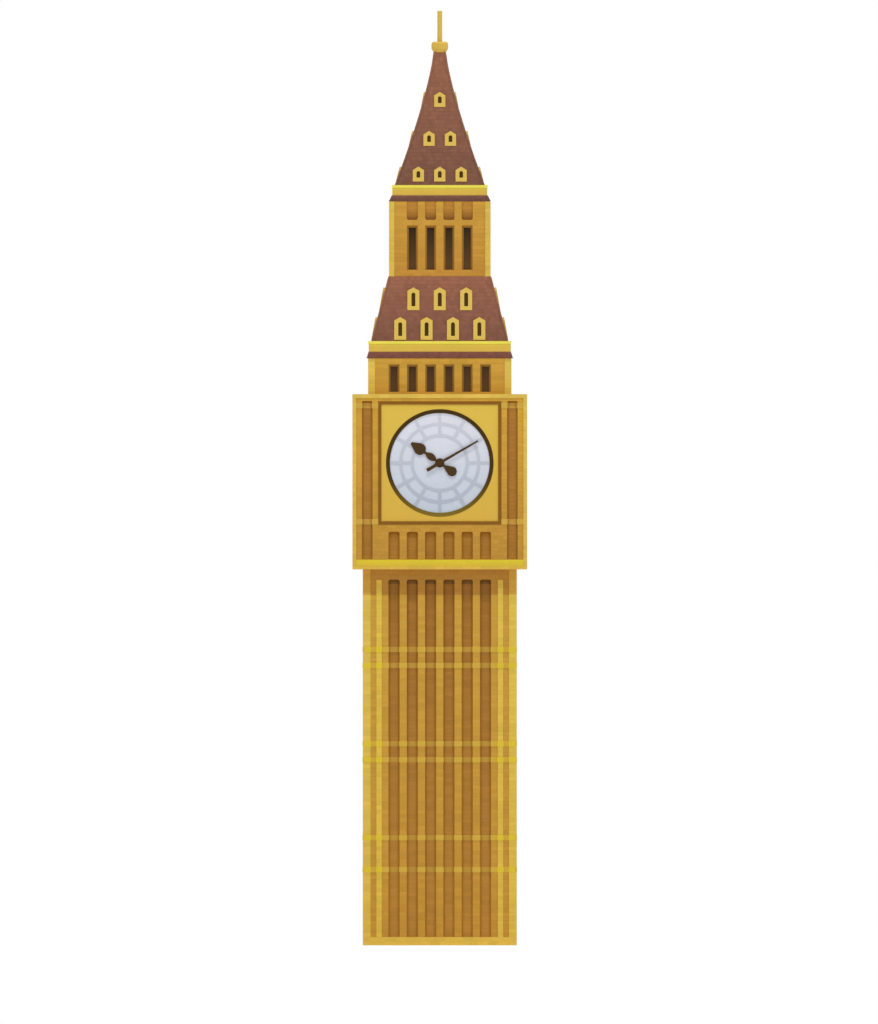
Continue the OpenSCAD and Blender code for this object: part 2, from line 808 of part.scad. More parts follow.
// One side of a hipped roof: a shell profile along the side, stopped at the hip ribs
module roof_slope(line) {
    reach = -line[0][0] + overrun;
    back = hip_w * sqrt(2) / 2;
    foot = line[0][1];
    top = line[len(line) - 1][1];
    intersection() {
        drawn_out(concat(line, backwards(shifted(line, roof_t))), 2 * reach);
        translate([0, 0, foot - overrun]) linear_extrude(top - foot + 2 * overrun)
            polygon([[0, -back], [-reach, -back - reach], [reach, -back - reach]]);
    }
}

module roof_body(line) {
    reach = -line[0][0] + hip_proud + overrun;
    intersection() {
        drawn_out(mirrored(line), 2 * reach);
        on_side(1) drawn_out(mirrored(line), 2 * reach);
    }
}

// Ribs on the four hips of a roof
module hip_ribs(line) {
    reach = -line[0][0] * sqrt(2) + hip_proud + overrun;
    foot = line[0][1];
    top = line[len(line) - 1][1];
    difference() {
        intersection() {
            for (a = [45 : 90 : 315])
                rotate([0, 0, a]) translate([0, -hip_w / 2, foot])
                    cube([reach + roof_t, hip_w, top - foot]);
            roof_body(shifted(line, -hip_proud));
        }
        roof_body(carried_past(shifted(line, roof_t)));
    }
}

// Dormers

// Front of a dormer with a gable
module dormer_shape(width, height) {
    eave = height - dormer_gable_h;
    polygon([[-width / 2, 0], [width / 2, 0], [width / 2, eave], [0, height],
             [-width / 2, eave]]);
}

// Leaning place of a dormer's front: Z runs up the front and Y into the roof
module at_dormer(x, z, half_here, half_above, height) {
    lean = atan((half_here - half_above) / height) * dormer_lean_share;
    translate([x, -half_here - dormer_proud, z]) rotate([-lean, 0, 0]) children();
}

module dormer_block(width, height, depth) {
    translate([0, depth, 0]) rotate([90, 0, 0]) linear_extrude(depth)
        dormer_shape(width, height);
}

// A dormer's window with a round head, from one depth to another
module dormer_light(light_w, light_h, from, to) {
    r = light_w / 2;
    translate([0, to, dormer_sill_h]) rotate([90, 0, 0]) linear_extrude(to - from) {
        translate([-r, 0]) square([light_w, light_h - r]);
        translate([0, light_h - r]) circle(r);
    }
}

// The places of the dormers on one side of each roof, with their children
module at_lower_dormers() {
    for (r = [0 : len(lower_dormer_counts) - 1])
        for (x = row(lower_dormer_counts[r], lower_dormer_pitch)) {
            share = lower_dormer_shares[r];
            share_above = share + lower_dormer_h / lower_roof_h;
            at_dormer(x, roof_z + lower_roof_h * share, lower_half(share),
                      lower_half(share_above), lower_dormer_h) children();
        }
}

module at_spire_dormers() {
    for (r = [0 : len(spire_dormer_counts) - 1])
        for (x = row(spire_dormer_counts[r], spire_dormer_pitch)) {
            share = spire_dormer_shares[r];
            share_above = share + spire_dormer_h / spire_h;
            at_dormer(x, spire_z + spire_h * share, spire_half(share),
                      spire_half(share_above), spire_dormer_h) children();
        }
}

module lower_light(from, to) {
    dormer_light(lower_light_w, lower_light_h, from, to);
}

module spire_light(from, to) {
    dormer_light(spire_light_w, spire_light_h, from, to);
}

module lower_roof_slopes() {
    color(roof_brown) on_sides() difference() {
        roof_slope(lower_line);
        at_lower_dormers() lower_light(-overrun, dormer_depth);
    }
}

module lower_dormers() {
    color(trim_gold) on_sides() difference() {
        at_lower_dormers() difference() {
            dormer_block(lower_dormer_w, lower_dormer_h, dormer_depth);
            lower_light(-overrun, dormer_depth + overrun);
        }
        drawn_out(mirrored(carried_past(lower_line)), lower_roof_foot_w);
    }
}

module spire_slopes() {
    color(roof_brown) on_sides() difference() {
        roof_slope(spire_line);
        at_spire_dormers() spire_light(-overrun, dormer_depth);
    }
}

module spire_dormers() {
    color(trim_gold) on_sides() difference() {
        at_spire_dormers() difference() {
            dormer_block(spire_dormer_w, spire_dormer_h, dormer_depth);
            spire_light(-overrun, dormer_depth + overrun);
        }
        drawn_out(mirrored(carried_past(spire_line)), spire_foot_w);
    }
}

module dormer_panes() {
    to = dormer_pane_sink + pane_t;
    color(pane_dark) on_sides() {
        at_lower_dormers() lower_light(dormer_pane_sink, to);
        at_spire_dormers() spire_light(dormer_pane_sink, to);
    }
}

module roof_hips() {
    color(roof_brown) {
        hip_ribs(lower_line);
        hip_ribs(spire_line);
    }
}

// Lantern

module lantern_floor() {
    color(roof_brown) tapered_block(2 * lower_half(lantern_floor_share), lower_roof_top_w,
                                    lantern_floor_z, lantern_floor_h);
}

module lantern_corner_piers() {
    color(trim_gold) corner_piers(lantern_w, lantern_pier_w, lantern_z, lantern_h);
}

module lantern_walls() {
    color(wall_gold) on_sides() difference() {
        bar(2 * lantern_edge, lantern_face - lantern_wall_t, lantern_face,
            lantern_z, lantern_h);
        for (x = row(lantern_count, lantern_pitch)) {
            window_cut(x, lantern_z + lantern_sill_h, lantern_face, lantern_wall_t,
                       lantern_window_w, lantern_window_h);
            translate([x, 0, upper_eaves_z + overrun]) mirror([0, 0, 1])
                stood_up(lantern_face - lantern_panel_depth, lantern_panel_depth + overrun)
                    panel_shape(lantern_panel_w, lantern_panel_h + overrun, recess_corner_r);
        }
    }
}

module window_panes() {
    color(pane_dark) on_sides() {
        for (x = row(bay_count, gallery_pitch))
            window_pane(x, gallery_z + gallery_sill_h, gallery_face,
                        gallery_window_w, gallery_window_h);
        for (x = row(lantern_count, lantern_pitch))
            window_pane(x, lantern_z + lantern_sill_h, lantern_face,
                        lantern_window_w, lantern_window_h);
    }
}

// Spire

module upper_eaves() {
    color(roof_brown) difference() {
        tapered_block(upper_eaves_foot_w, upper_cornice_w, upper_eaves_z, upper_eaves_h);
        square_well(spire_inner, upper_eaves_z, upper_eaves_h);
    }
}

module upper_cornice() {
    color(bright_gold) cornice(upper_cornice_w, spire_inner, upper_cornice_z,
                               upper_cornice_h);
}

// Knob with a rounded upper edge, and the rod that it carries
module finial_shape() {
    widest = knob_h * knob_widest_share;
    polygon([[0, 0], [knob_foot_d / 2, 0], [knob_d / 2, widest],
             [knob_d / 2, knob_h - knob_edge_r], [0, knob_h - knob_edge_r]]);
    translate([0, knob_h - knob_edge_r]) square([knob_d / 2 - knob_edge_r, knob_edge_r]);
    intersection() {
        translate([knob_d / 2 - knob_edge_r, knob_h - knob_edge_r]) circle(knob_edge_r);
        square([knob_d, knob_h]);
    }
    square([rod_d / 2, knob_h + rod_h]);
}

module finial() {
    color(bright_gold) translate([0, 0, finial_z]) rotate_extrude() finial_shape();
}

plinth();
shaft_wall(0);  // shaft_wall_front
shaft_wall(1);  // shaft_wall_right
shaft_wall(2);  // shaft_wall_back
shaft_wall(3);  // shaft_wall_left
shaft_corner_piers();
shaft_pilasters();
string_courses();
clock_stage_base();
clock_stage_band();
clock_wall(0);  // clock_wall_front
clock_wall(1);  // clock_wall_right
clock_wall(2);  // clock_wall_back
clock_wall(3);  // clock_wall_left
clock_corner_piers();
clock_side_bands();
gallery_floor();
dial_frames();
dial_surrounds();
dial_rings();
dial_glasses();
dial_traceries();
hour_hand(0);  // hour_hand_front
hour_hand(1);  // hour_hand_right
hour_hand(2);  // hour_hand_back
hour_hand(3);  // hour_hand_left
minute_hand(0);  // minute_hand_front
minute_hand(1);  // minute_hand_right
minute_hand(2);  // minute_hand_back
minute_hand(3);  // minute_hand_left
gallery_corner_piers();
gallery_walls();
lower_eaves();
lower_cornice();
lower_roof_slopes();
lower_dormers();
lantern_floor();
lantern_corner_piers();
lantern_walls();
window_panes();
upper_eaves();
upper_cornice();
spire_slopes();
roof_hips();
spire_dormers();
dormer_panes();
finial();
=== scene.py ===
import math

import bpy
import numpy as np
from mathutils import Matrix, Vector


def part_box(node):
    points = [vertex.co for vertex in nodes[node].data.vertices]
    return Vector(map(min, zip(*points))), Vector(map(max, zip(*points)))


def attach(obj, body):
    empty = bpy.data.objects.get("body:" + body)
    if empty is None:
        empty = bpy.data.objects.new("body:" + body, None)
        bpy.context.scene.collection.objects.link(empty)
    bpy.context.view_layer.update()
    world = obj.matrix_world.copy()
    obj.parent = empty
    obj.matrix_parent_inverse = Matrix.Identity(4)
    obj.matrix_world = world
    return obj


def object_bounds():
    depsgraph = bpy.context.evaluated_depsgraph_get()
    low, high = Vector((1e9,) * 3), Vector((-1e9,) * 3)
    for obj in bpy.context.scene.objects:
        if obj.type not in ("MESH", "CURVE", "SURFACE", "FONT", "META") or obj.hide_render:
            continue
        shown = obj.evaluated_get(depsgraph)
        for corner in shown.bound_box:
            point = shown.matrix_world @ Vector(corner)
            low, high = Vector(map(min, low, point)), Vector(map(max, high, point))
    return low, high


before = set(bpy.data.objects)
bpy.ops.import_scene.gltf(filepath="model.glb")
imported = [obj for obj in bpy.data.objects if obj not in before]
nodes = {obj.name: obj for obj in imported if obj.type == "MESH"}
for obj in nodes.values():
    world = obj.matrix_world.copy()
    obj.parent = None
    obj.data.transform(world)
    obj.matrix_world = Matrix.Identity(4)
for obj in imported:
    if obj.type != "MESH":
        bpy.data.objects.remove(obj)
cad_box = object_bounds()

# Looks of the clock tower model: golden stone, gilded trim, opal dials and tiled roofs.
# Lengths are in metres. Colours are screen values from 0 to 255, and tints are factors on a
# colour's red, green and blue.

scene = bpy.context.scene
SIDES = ("front", "right", "back", "left")


def span(node):
    """Lowest and highest level of a CAD node."""
    low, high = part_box(node)
    return low.z, high.z


def reach(node):
    """Largest distance of a CAD node from the tower's axis, along X."""
    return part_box(node)[1].x


# Levels of the stages, from the ground up
SHAFT_LOW, SHAFT_HIGH = span("shaft_wall_front")
WALL_LOW, WALL_HIGH = span("clock_wall_front")
BAND_HIGH = span("clock_stage_band")[1]
FRAME_LOW, FRAME_HIGH = span("dial_frames")
GALLERY_LOW, GALLERY_HIGH = span("gallery_walls")
LOWER_ROOF_LOW = span("lower_roof_slopes")[0]
LANTERN_LOW, LANTERN_HIGH = span("lantern_walls")
SPIRE_LOW, SPIRE_HIGH = span("spire_slopes")
TOWER_TOP = cad_box[1][2]

# Distances from the axis: the face of each stage's walls, and of its corner piers
SHAFT_FACE, SHAFT_HALF = reach("shaft_wall_right"), reach("shaft_corner_piers")
CLOCK_FACE, CLOCK_HALF = reach("clock_wall_right"), reach("clock_corner_piers")
GALLERY_FACE, GALLERY_HALF = reach("gallery_walls"), reach("gallery_corner_piers")
LANTERN_FACE, LANTERN_HALF = reach("lantern_walls"), reach("lantern_corner_piers")

# Widths of the corner piers, and how far they stand out from the shaft and the clock stage
SHAFT_PIER, CLOCK_PIER, GALLERY_PIER, LANTERN_PIER = 0.080, 0.038, 0.070, 0.055
PIER_RELIEF = 0.008
PILASTER_IN, PILASTER_OUT = 0.595, 0.652

# Blind bays of the shaft, and the panels under and beside the dials that are cut like them
BAY_COUNT, BAY_PITCH, BAY_HALF = 6, 0.188, 0.057
BAY_DEPTH, BAY_RIM_DEPTH, BAY_RIM, BAY_ROUND = 0.028, 0.012, 0.013, 0.008
BAY_HEAD = SHAFT_HIGH - 0.104
PANEL_LOW = BAND_HIGH + 0.006
PANEL_HIGH = PANEL_LOW + 0.281
SIDE_PANEL, SIDE_PANEL_HALF, SIDE_PANEL_HIGH = 0.7455, 0.0545, WALL_HIGH - 0.027

# Dials
DIAL_R = 0.5525
DIAL_LEVEL = (FRAME_LOW + FRAME_HIGH) / 2
DIAL_LOW, DIAL_HIGH = DIAL_LEVEL - DIAL_R, DIAL_LEVEL + DIAL_R
FRAME_HALF = (FRAME_HIGH - FRAME_LOW) / 2

# Windows of the gallery and the lantern, and the lantern's blind panels
WINDOW_HALF = 0.0565
GALLERY_SILL, GALLERY_HEAD = GALLERY_LOW + 0.024, GALLERY_HIGH - 0.060
LIGHT_COUNT = 4
BLIND_LOW, BLIND_HALF, BLIND_DEPTH, BLIND_ROUND = LANTERN_HIGH - 0.190, 0.056, 0.016, 0.02
LANTERN_SILL, LANTERN_HEAD = LANTERN_LOW + 0.069, BLIND_LOW - 0.056

# Half-widths of the roofs at foot and head, and the spire's curve between them
LOWER_ROOF_HALVES = (0.699, 0.523)
LOWER_EAVES_HALVES, UPPER_EAVES_HALVES = (0.751, 0.731), (0.522, 0.493)
SPIRE_FOOT_HALF, SPIRE_TOP_HALF, SPIRE_CURVE, SPIRE_STEPS = 0.457, 0.0595, 1.3, 12


# Node trees

def linear(colour):
    """Screen colour to linear light, by the standard screen curve."""
    c = np.asarray(colour, float) / 255.0
    c = np.where(c <= 0.04045, c / 12.92, ((c + 0.055) / 1.055) ** 2.4)
    return (float(c[0]), float(c[1]), float(c[2]), 1.0)


class Graph:
    """Adds nodes to one node tree and links their sockets."""

    def __init__(self, tree):
        self.tree = tree

    def feed(self, socket, value):
        """Links a socket to an input, or sets the input to a plain value."""
        if isinstance(value, bpy.types.NodeSocket):
            self.tree.links.new(value, socket)
        else:
            socket.default_value = value

    def add(self, kind, inputs=None, **settings):
        """New node with its settings and inputs."""
        node = self.tree.nodes.new(kind)
        for key, value in settings.items():
            setattr(node, key, value)
        for key, value in (inputs or {}).items():
            self.feed(node.inputs[key], value)
        return node

    def math(self, operation, a, b=0.0):
        """One sum, product, comparison or the like of two values."""
        return self.add("ShaderNodeMath", {0: a, 1: b}, operation=operation).outputs[0]

    def ramp(self, value, low, high, low_out=0.0, high_out=1.0):
        """Smooth step of a value, from one output to the other between low and high."""
        node = self.add("ShaderNodeMapRange",
                        {"Value": value, "From Min": low, "From Max": high,
                         "To Min": low_out, "To Max": high_out},
                        interpolation_type="SMOOTHSTEP")
        return node.outputs["Result"]

    def mix(self, factor, a, b, blend="MIX"):
        """Blend of two colours."""
        node = self.add("ShaderNodeMix", {0: factor, 6: a, 7: b}, data_type="RGBA",
                        blend_type=blend)
        return node.outputs[2]

    def times(self, a, b):
        """Product of two colours."""
        return self.mix(1.0, a, b, "MULTIPLY")

    def noise(self, vector, scale, detail, roughness=0.5):
        """Cloudy value about one half, with this many features to a metre."""
        node = self.add("ShaderNodeTexNoise",
                        {"Vector": vector, "Scale": scale, "Detail": detail,
                         "Roughness": roughness})
        return node.outputs["Fac"]

    def swing(self, noise, ends, half=0.2):
        """A noise from half below its middle to half above it, spread between two ends."""
        return self.ramp(noise, 0.5 - half, 0.5 + half, *ends)

    def grey(self, value):
        """Grey colour of a value."""
        return self.add("ShaderNodeCombineColor",
                        {"Red": value, "Green": value, "Blue": value}).outputs["Color"]


KINDS = {"value": "NodeSocketFloat", "colour": "NodeSocketColor", "vector": "NodeSocketVector"}


def new_group(name, inputs, outputs):
    """Empty shader node group with named sockets; gives its graph, inputs and outputs."""
    tree = bpy.data.node_groups.new(name, "ShaderNodeTree")
    for in_out, sockets in (("INPUT", inputs), ("OUTPUT", outputs)):
        for label, kind in sockets.items():
            tree.interface.new_socket(label, in_out=in_out, socket_type=KINDS[kind])
    return (Graph(tree), tree.nodes.new("NodeGroupInput").outputs,
            tree.nodes.new("NodeGroupOutput").inputs)


def place(graph, name, inputs=None):
    """Places a node group in a graph and gives its outputs."""
    node = graph.add("ShaderNodeGroup", node_tree=bpy.data.node_groups[name])
    for key, value in (inputs or {}).items():
        graph.feed(node.inputs[key], value)
    return node.outputs


# Shared effects

PIECE_TINT = "piece_tint"
STONE_TONE, STONE_ROUGH = (0.97, 1.03), (0.66, 0.84)
PIT_SHARE = 0.5
COAT_ROUGH = (0.36, 0.5)
COAT_GRAIN_SHARE = 0.4
SUNK_MARGIN = 0.003


def own_tone(g):
    """One plus the small tint of each stone or tile; one on other surfaces."""
    tint = g.add("ShaderNodeAttribute", attribute_name=PIECE_TINT, attribute_type="GEOMETRY")
    return g.math("ADD", 1.0, tint.outputs["Fac"])


def make_tower_coordinates():
    """Along: distance along a side. Height: level. Depth: distance from the tower's axis,
    the larger of |x| and |y|."""
    g, _, out = new_group("tower coordinates", {},
                          {"Along": "value", "Height": "value", "Depth": "value",
                           "Point": "vector"})
    point = g.add("ShaderNodeTexCoord").outputs["Object"]
    xyz = g.add("ShaderNodeSeparateXYZ", {0: point}).outputs
    far_x = g.math("ABSOLUTE", xyz["X"])
    far_y = g.math("ABSOLUTE", xyz["Y"])
    on_side = g.math("GREATER_THAN", far_x, far_y)
    difference = g.math("SUBTRACT", xyz["Y"], xyz["X"])
    g.feed(out["Along"], g.math("ADD", xyz["X"], g.math("MULTIPLY", on_side, difference)))
    g.feed(out["Height"], xyz["Z"])
    g.feed(out["Depth"], g.math("MAXIMUM", far_x, far_y))
    g.feed(out["Point"], point)


def make_tone_by_height():
    """Blends two colours evenly from a low to a high level."""
    g, inp, out = new_group(
        "tone by height",
        {"Height": "value", "Low Level": "value", "High Level": "value", "Low": "colour",
         "High": "colour"}, {"Color": "colour"})
    share = g.add("ShaderNodeMapRange",
                  {"Value": inp["Height"], "From Min": inp["Low Level"],
                   "From Max": inp["High Level"]}).outputs["Result"]
    g.feed(out["Color"], g.mix(share, inp["Low"], inp["High"]))


def make_worked_stone():
    """Dressed stone: cloudy mottling, fine grain and each stone's own small tint. Tone
    multiplies a colour, Relief is the height for a bump, and Roughness follows the grain."""
    g, inp, out = new_group("worked stone", {"Point": "vector"},
                            {"Tone": "colour", "Relief": "value", "Roughness": "value"})
    cloud = g.noise(inp["Point"], scale=2.6, detail=5.0, roughness=0.6)
    grain = g.noise(inp["Point"], scale=160.0, detail=3.0, roughness=0.6)
    pits = g.noise(inp["Point"], scale=620.0, detail=2.0)
    mottling = g.math("MULTIPLY", g.swing(cloud, STONE_TONE),
                      g.swing(grain, STONE_TONE, half=0.25))
    g.feed(out["Tone"], g.grey(g.math("MULTIPLY", own_tone(g), mottling)))
    g.feed(out["Relief"], g.math("ADD", grain, g.math("MULTIPLY", pits, PIT_SHARE)))
    g.feed(out["Roughness"], g.swing(grain, STONE_ROUGH, half=0.3))


def make_sunk_panel():
    """Splits a panelled wall by its distance from the axis: Sunk is 1 on the sunk floor, and
    Edge is 1 on the rim that steps down to it."""
    g, inp, out = new_group("sunk panel", {"Depth": "value", "Rim": "value", "Floor": "value"},
                            {"Sunk": "value", "Edge": "value"})
    above_floor = g.math("GREATER_THAN", inp["Depth"], g.math("ADD", inp["Floor"], SUNK_MARGIN))
    above_rim = g.math("GREATER_THAN", inp["Depth"], g.math("ADD", inp["Rim"], SUNK_MARGIN))
    g.feed(out["Sunk"], g.math("SUBTRACT", 1.0, above_floor))
    g.feed(out["Edge"], g.math("SUBTRACT", above_floor, above_rim))


def make_satin_coat():
    """Fine brushed mottling of painted or gilded metal: Tone multiplies a colour, Relief is
    the height for a bump, and Roughness follows the same grain."""
    g, inp, out = new_group("satin coat", {"Point": "vector", "Strength": "value"},
                            {"Tone": "colour", "Relief": "value", "Roughness": "value"})
    cloud = g.noise(inp["Point"], scale=7.0, detail=4.0, roughness=0.6)
    grain = g.noise(inp["Point"], scale=240.0, detail=2.0)
    mottling = g.math("MULTIPLY", g.math("SUBTRACT", cloud, 0.5), inp["Strength"])
    g.feed(out["Tone"], g.grey(g.math("ADD", 1.0, mottling)))
    g.feed(out["Relief"], g.math("ADD", g.math("MULTIPLY", grain, COAT_GRAIN_SHARE), cloud))
    g.feed(out["Roughness"], g.swing(grain, COAT_ROUGH, half=0.3))


make_tower_coordinates()
make_tone_by_height()
make_worked_stone()
make_sunk_panel()
make_satin_coat()


# Finishes

STONE_GLOSS, GILDING_GLOSS, CLAY_GLOSS = 0.08, 0.12, 0.1
FRAME_GLOSS, TRACERY_GLOSS, BRONZE_GLOSS, DORMER_GLASS_GLOSS = 0.12, 0.1, 0.06, 0.05
OPAL_GLOSS, PANE_GLOSS = 0.2, 0.08
COAT_MOTTLING, CLAY_MOTTLING = 0.06, 0.08
OPAL_TONE, OPAL_ROUGH, PANE_ROUGH = (0.985, 1.015), (0.26, 0.36), (0.2, 0.32)
GLASS_WAVE = 0.002

# How far past a face a mask begins, and how soft the lower edge of a shade is
FACE_MARGIN = 0.002
RIM_MARGIN = 0.006
PIER_MARGIN = 0.001
SHADE_BLUR = 0.004

# Painted shade under the overhanging clock stage, on top of the shadow that the stage casts
STAGE_SHADE_EDGE = SHAFT_HIGH - 0.262
WALL_SHADE = (0.82, 0.69, 0.79, 1)
BAY_SHADE = (0.89, 0.86, 0.89, 1)
PIER_SHADE = (0.88, 0.68, 0.70, 1)
PILASTER_SHADE = (0.98, 0.9, 0.92, 1)

# Painted shade on the rims and under the heads of the blind bays and panels, and painted light at
# the panels' feet
RIM_PAINTED_SHADE = (0.86, 0.75, 0.42, 1)
BAY_HEAD_SHADE, BAY_HEAD_TINT = 0.05, (0.6, 0.63, 0.78, 1)
PANEL_HEAD_SHADE, PANEL_HEAD_TINT = 0.054, (0.96, 0.88, 0.68, 1)
PANEL_FOOT_RISE, PANEL_FOOT_PAINTED_LIGHT = 0.05, (1.3, 1.35, 1.15, 1)
PANELS_REACH = 0.62

# Painted light under the eaves, against their shadow, and painted shade on the splays of the
# windows
GALLERY_EAVES_LIGHT_DEPTH, GALLERY_EAVES_LIGHT = 0.07, (1.4, 1.4, 1.35, 1)
LANTERN_EAVES_LIGHT_DEPTH, LANTERN_EAVES_LIGHT = 0.05, (1.3, 1.3, 1.25, 1)
GALLERY_SPLAY_SHADE, LANTERN_SPLAY_SHADE = (0.54, 0.5, 0.56, 1), (0.6, 0.54, 0.54, 1)
BLIND_MARGIN = 0.012

# Bands and cornices, with a painted highlight on the cornices' fillets and painted light just
# under them, against the fillets' shadow
BAND_YELLOW, FILLET_HIGHLIGHT = (217, 191, 52), (236, 223, 86)
FILLET, FILLET_LIGHT_DEPTH, FILLET_PAINTED_LIGHT = 0.028, 0.06, (1.1, 1.22, 1.05, 1)
CORNICE_MARGIN = 0.1

LANTERN_PANE_RISE = 0.5
RING_DARK_LEVEL = DIAL_LEVEL - 0.3 * DIAL_R


def new_finish(name):
    """Empty Principled material; gives it, its graph, its shader and the tower's coordinates."""
    material = bpy.data.materials.new(name)
    material.use_nodes = True
    material.node_tree.nodes.clear()
    g = Graph(material.node_tree)
    shader = g.add("ShaderNodeBsdfPrincipled")
    end = g.add("ShaderNodeOutputMaterial")
    g.feed(end.inputs["Surface"], shader.outputs[0])
    return material, g, shader, place(g, "tower coordinates")


def bump(g, shader, relief, distance, strength):
    """Gives a shader the fine relief of a height."""
    node = g.add("ShaderNodeBump", {"Height": relief, "Strength": strength,
                                    "Distance": distance})
    g.feed(shader.inputs["Normal"], node.outputs[0])


def toned(g, at, low_level, high_level, low, high):
    """Colour that goes from one tone to another between two levels."""
    return place(g, "tone by height",
                 {"Height": at["Height"], "Low Level": low_level, "High Level": high_level,
                  "Low": linear(low), "High": linear(high)})["Color"]


def stone_end(g, shader, at, colour):
    """Finishes a stone: the colour times its clouds and grain, rough, with a fine bump."""
    stone = place(g, "worked stone", {"Point": at["Point"]})
    g.feed(shader.inputs["Base Color"], g.times(colour, stone["Tone"]))
    g.feed(shader.inputs["Roughness"], stone["Roughness"])
    shader.inputs["Specular IOR Level"].default_value = STONE_GLOSS
    bump(g, shader, stone["Relief"], distance=0.0008, strength=0.3)


def satin_end(g, shader, at, colour, mottling, gloss):
    """Finishes a painted, gilded or clay piece with a fine satin coat."""
    coat = place(g, "satin coat", {"Point": at["Point"], "Strength": mottling})
    g.feed(shader.inputs["Base Color"], g.times(colour, coat["Tone"]))
    g.feed(shader.inputs["Roughness"], coat["Roughness"])
    shader.inputs["Specular IOR Level"].default_value = gloss
    bump(g, shader, coat["Relief"], distance=0.0006, strength=0.2)


def glass_end(g, shader, at, colour, gloss, roughness, smear_scale, wave_scale, wave_strength):
    """Finishes a glass: the colour, a roughness that smears over it, and slow waves."""
    g.feed(shader.inputs["Base Color"], colour)
    smear = g.noise(at["Point"], smear_scale, detail=2.0)
    g.feed(shader.inputs["Roughness"], g.swing(smear, roughness))
    shader.inputs["Specular IOR Level"].default_value = gloss
    bump(g, shader, g.noise(at["Point"], wave_scale, detail=2.0), GLASS_WAVE, wave_strength)


def tinted(g, mask, colour, tint):
    """The colour times a tint where the mask is 1."""
    return g.mix(mask, colour, g.times(colour, tint))


def stage_shade(g, at, colour, tint):
    """Deepens the stone with painted shade under the overhanging clock stage, down to a level
    edge.
    """
    shade = g.ramp(at["Height"], STAGE_SHADE_EDGE - SHADE_BLUR, STAGE_SHADE_EDGE + SHADE_BLUR)
    return tinted(g, shade, colour, tint)


def painted_eaves_light(g, at, colour, top, depth, tint):
    """Painted light close under an eaves, against the shadow that it casts."""
    return tinted(g, g.ramp(at["Height"], top - depth, top), colour, tint)


def panel_colour(g, at, face_colour, floor_colour, face):
    """Wall colour on its face, another on the sunk floor, and on the rim that steps down between,
    the floor's colour deepened by painted shade. Gives the colour, and a mask that is 1 on floor
    and rim."""
    masks = place(g, "sunk panel", {"Depth": at["Depth"], "Rim": face - BAY_RIM_DEPTH,
                                    "Floor": face - BAY_DEPTH})
    colour = g.mix(masks["Sunk"], face_colour, floor_colour)
    colour = g.mix(masks["Edge"], colour, g.times(floor_colour, RIM_PAINTED_SHADE))
    return colour, g.math("MAXIMUM", masks["Sunk"], masks["Edge"])


def head_shade(g, at, colour, mask, head, depth, tint):
    """Deepens the masked part of bays or panels close under their heads."""
    edge = head - depth
    shade = g.math("MULTIPLY", mask, g.ramp(at["Height"], edge, edge + SHADE_BLUR))
    return tinted(g, shade, colour, tint)


def shaft_wall_stone():
    """Golden wall with bays darkened by painted shade, deepest at their heads, and painted shade
    under the clock stage.
    """
    material, g, shader, at = new_finish("shaft wall stone")
    face = toned(g, at, SHAFT_LOW, SHAFT_HIGH, (193, 143, 56), (201, 157, 64))
    # The sunk floor's darker colour is painted shade of the bays.
    floor = toned(g, at, SHAFT_LOW, SHAFT_HIGH, (185, 134, 58), (162, 113, 49))
    colour, in_bay = panel_colour(g, at, face, floor, SHAFT_FACE)
    colour = head_shade(g, at, colour, in_bay, BAY_HEAD, BAY_HEAD_SHADE, BAY_HEAD_TINT)
    shade = g.mix(in_bay, WALL_SHADE, BAY_SHADE)
    stone_end(g, shader, at, stage_shade(g, at, colour, shade))
    return material


def clock_wall_stone():
    """Golden wall with panels darkened by painted shade, and painted light at their feet. Those
    under the dial have painted shade at their heads."""
    material, g, shader, at = new_finish("clock wall stone")
    face = toned(g, at, WALL_LOW, WALL_HIGH, (189, 141, 59), (209, 161, 60))
    # The sunk floor's darker colour is painted shade of the panels.
    floor = toned(g, at, WALL_LOW, WALL_HIGH, (170, 120, 49), (176, 124, 55))
    # Painted light at the panels' feet.
    foot = g.ramp(at["Height"], BAND_HIGH + PANEL_FOOT_RISE, BAND_HIGH)
    floor = tinted(g, foot, floor, PANEL_FOOT_PAINTED_LIGHT)
    colour, in_panel = panel_colour(g, at, face, floor, CLOCK_FACE)
    middle = g.math("LESS_THAN", g.math("ABSOLUTE", at["Along"]), PANELS_REACH)
    colour = head_shade(g, at, colour, g.math("MULTIPLY", in_panel, middle), PANEL_HIGH,
                        PANEL_HEAD_SHADE, PANEL_HEAD_TINT)
    stone_end(g, shader, at, colour)
    return material


def plain_stone(name, low_level, high_level, low, high, shaded=False):
    """Stone of one tone that drifts with its height, and may lie under the stage's shade."""
    material, g, shader, at = new_finish(name)
    colour = toned(g, at, low_level, high_level, low, high)
    if shaded:
        colour = stage_shade(g, at, colour, PIER_SHADE)
    stone_end(g, shader, at, colour)
    return material


def pilaster_stone():
    """Light strip with painted shade only near its head, under the clock stage."""
    material, g, shader, at = new_finish("pilaster stone")
    colour = toned(g, at, SHAFT_LOW, SHAFT_HIGH, (215, 181, 71), (219, 186, 76))
    head = g.ramp(at["Height"], STAGE_SHADE_EDGE, BAY_HEAD)
    stone_end(g, shader, at, tinted(g, head, colour, PILASTER_SHADE))
    return material


def band_stone(name, face, on_wall, on_edge, on_floor):
    """Band that follows the wall: yellow on the piers, light on the wall, darker by painted shade
    on the rims and in the bays.
    """
    material, g, shader, at = new_finish(name)
    in_bay = g.math("LESS_THAN", at["Depth"], face - BAY_RIM_DEPTH - RIM_MARGIN)
    on_rim = g.math("LESS_THAN", at["Depth"], face - FACE_MARGIN)
    on_pier = g.math("GREATER_THAN", at["Depth"], face + PIER_RELIEF + PIER_MARGIN)
    colour = g.mix(on_pier, linear(on_wall), linear(BAND_YELLOW))
    colour = g.mix(on_rim, colour, linear(on_edge))
    colour = g.mix(in_bay, colour, linear(on_floor))
    stone_end(g, shader, at, colour)
    return material


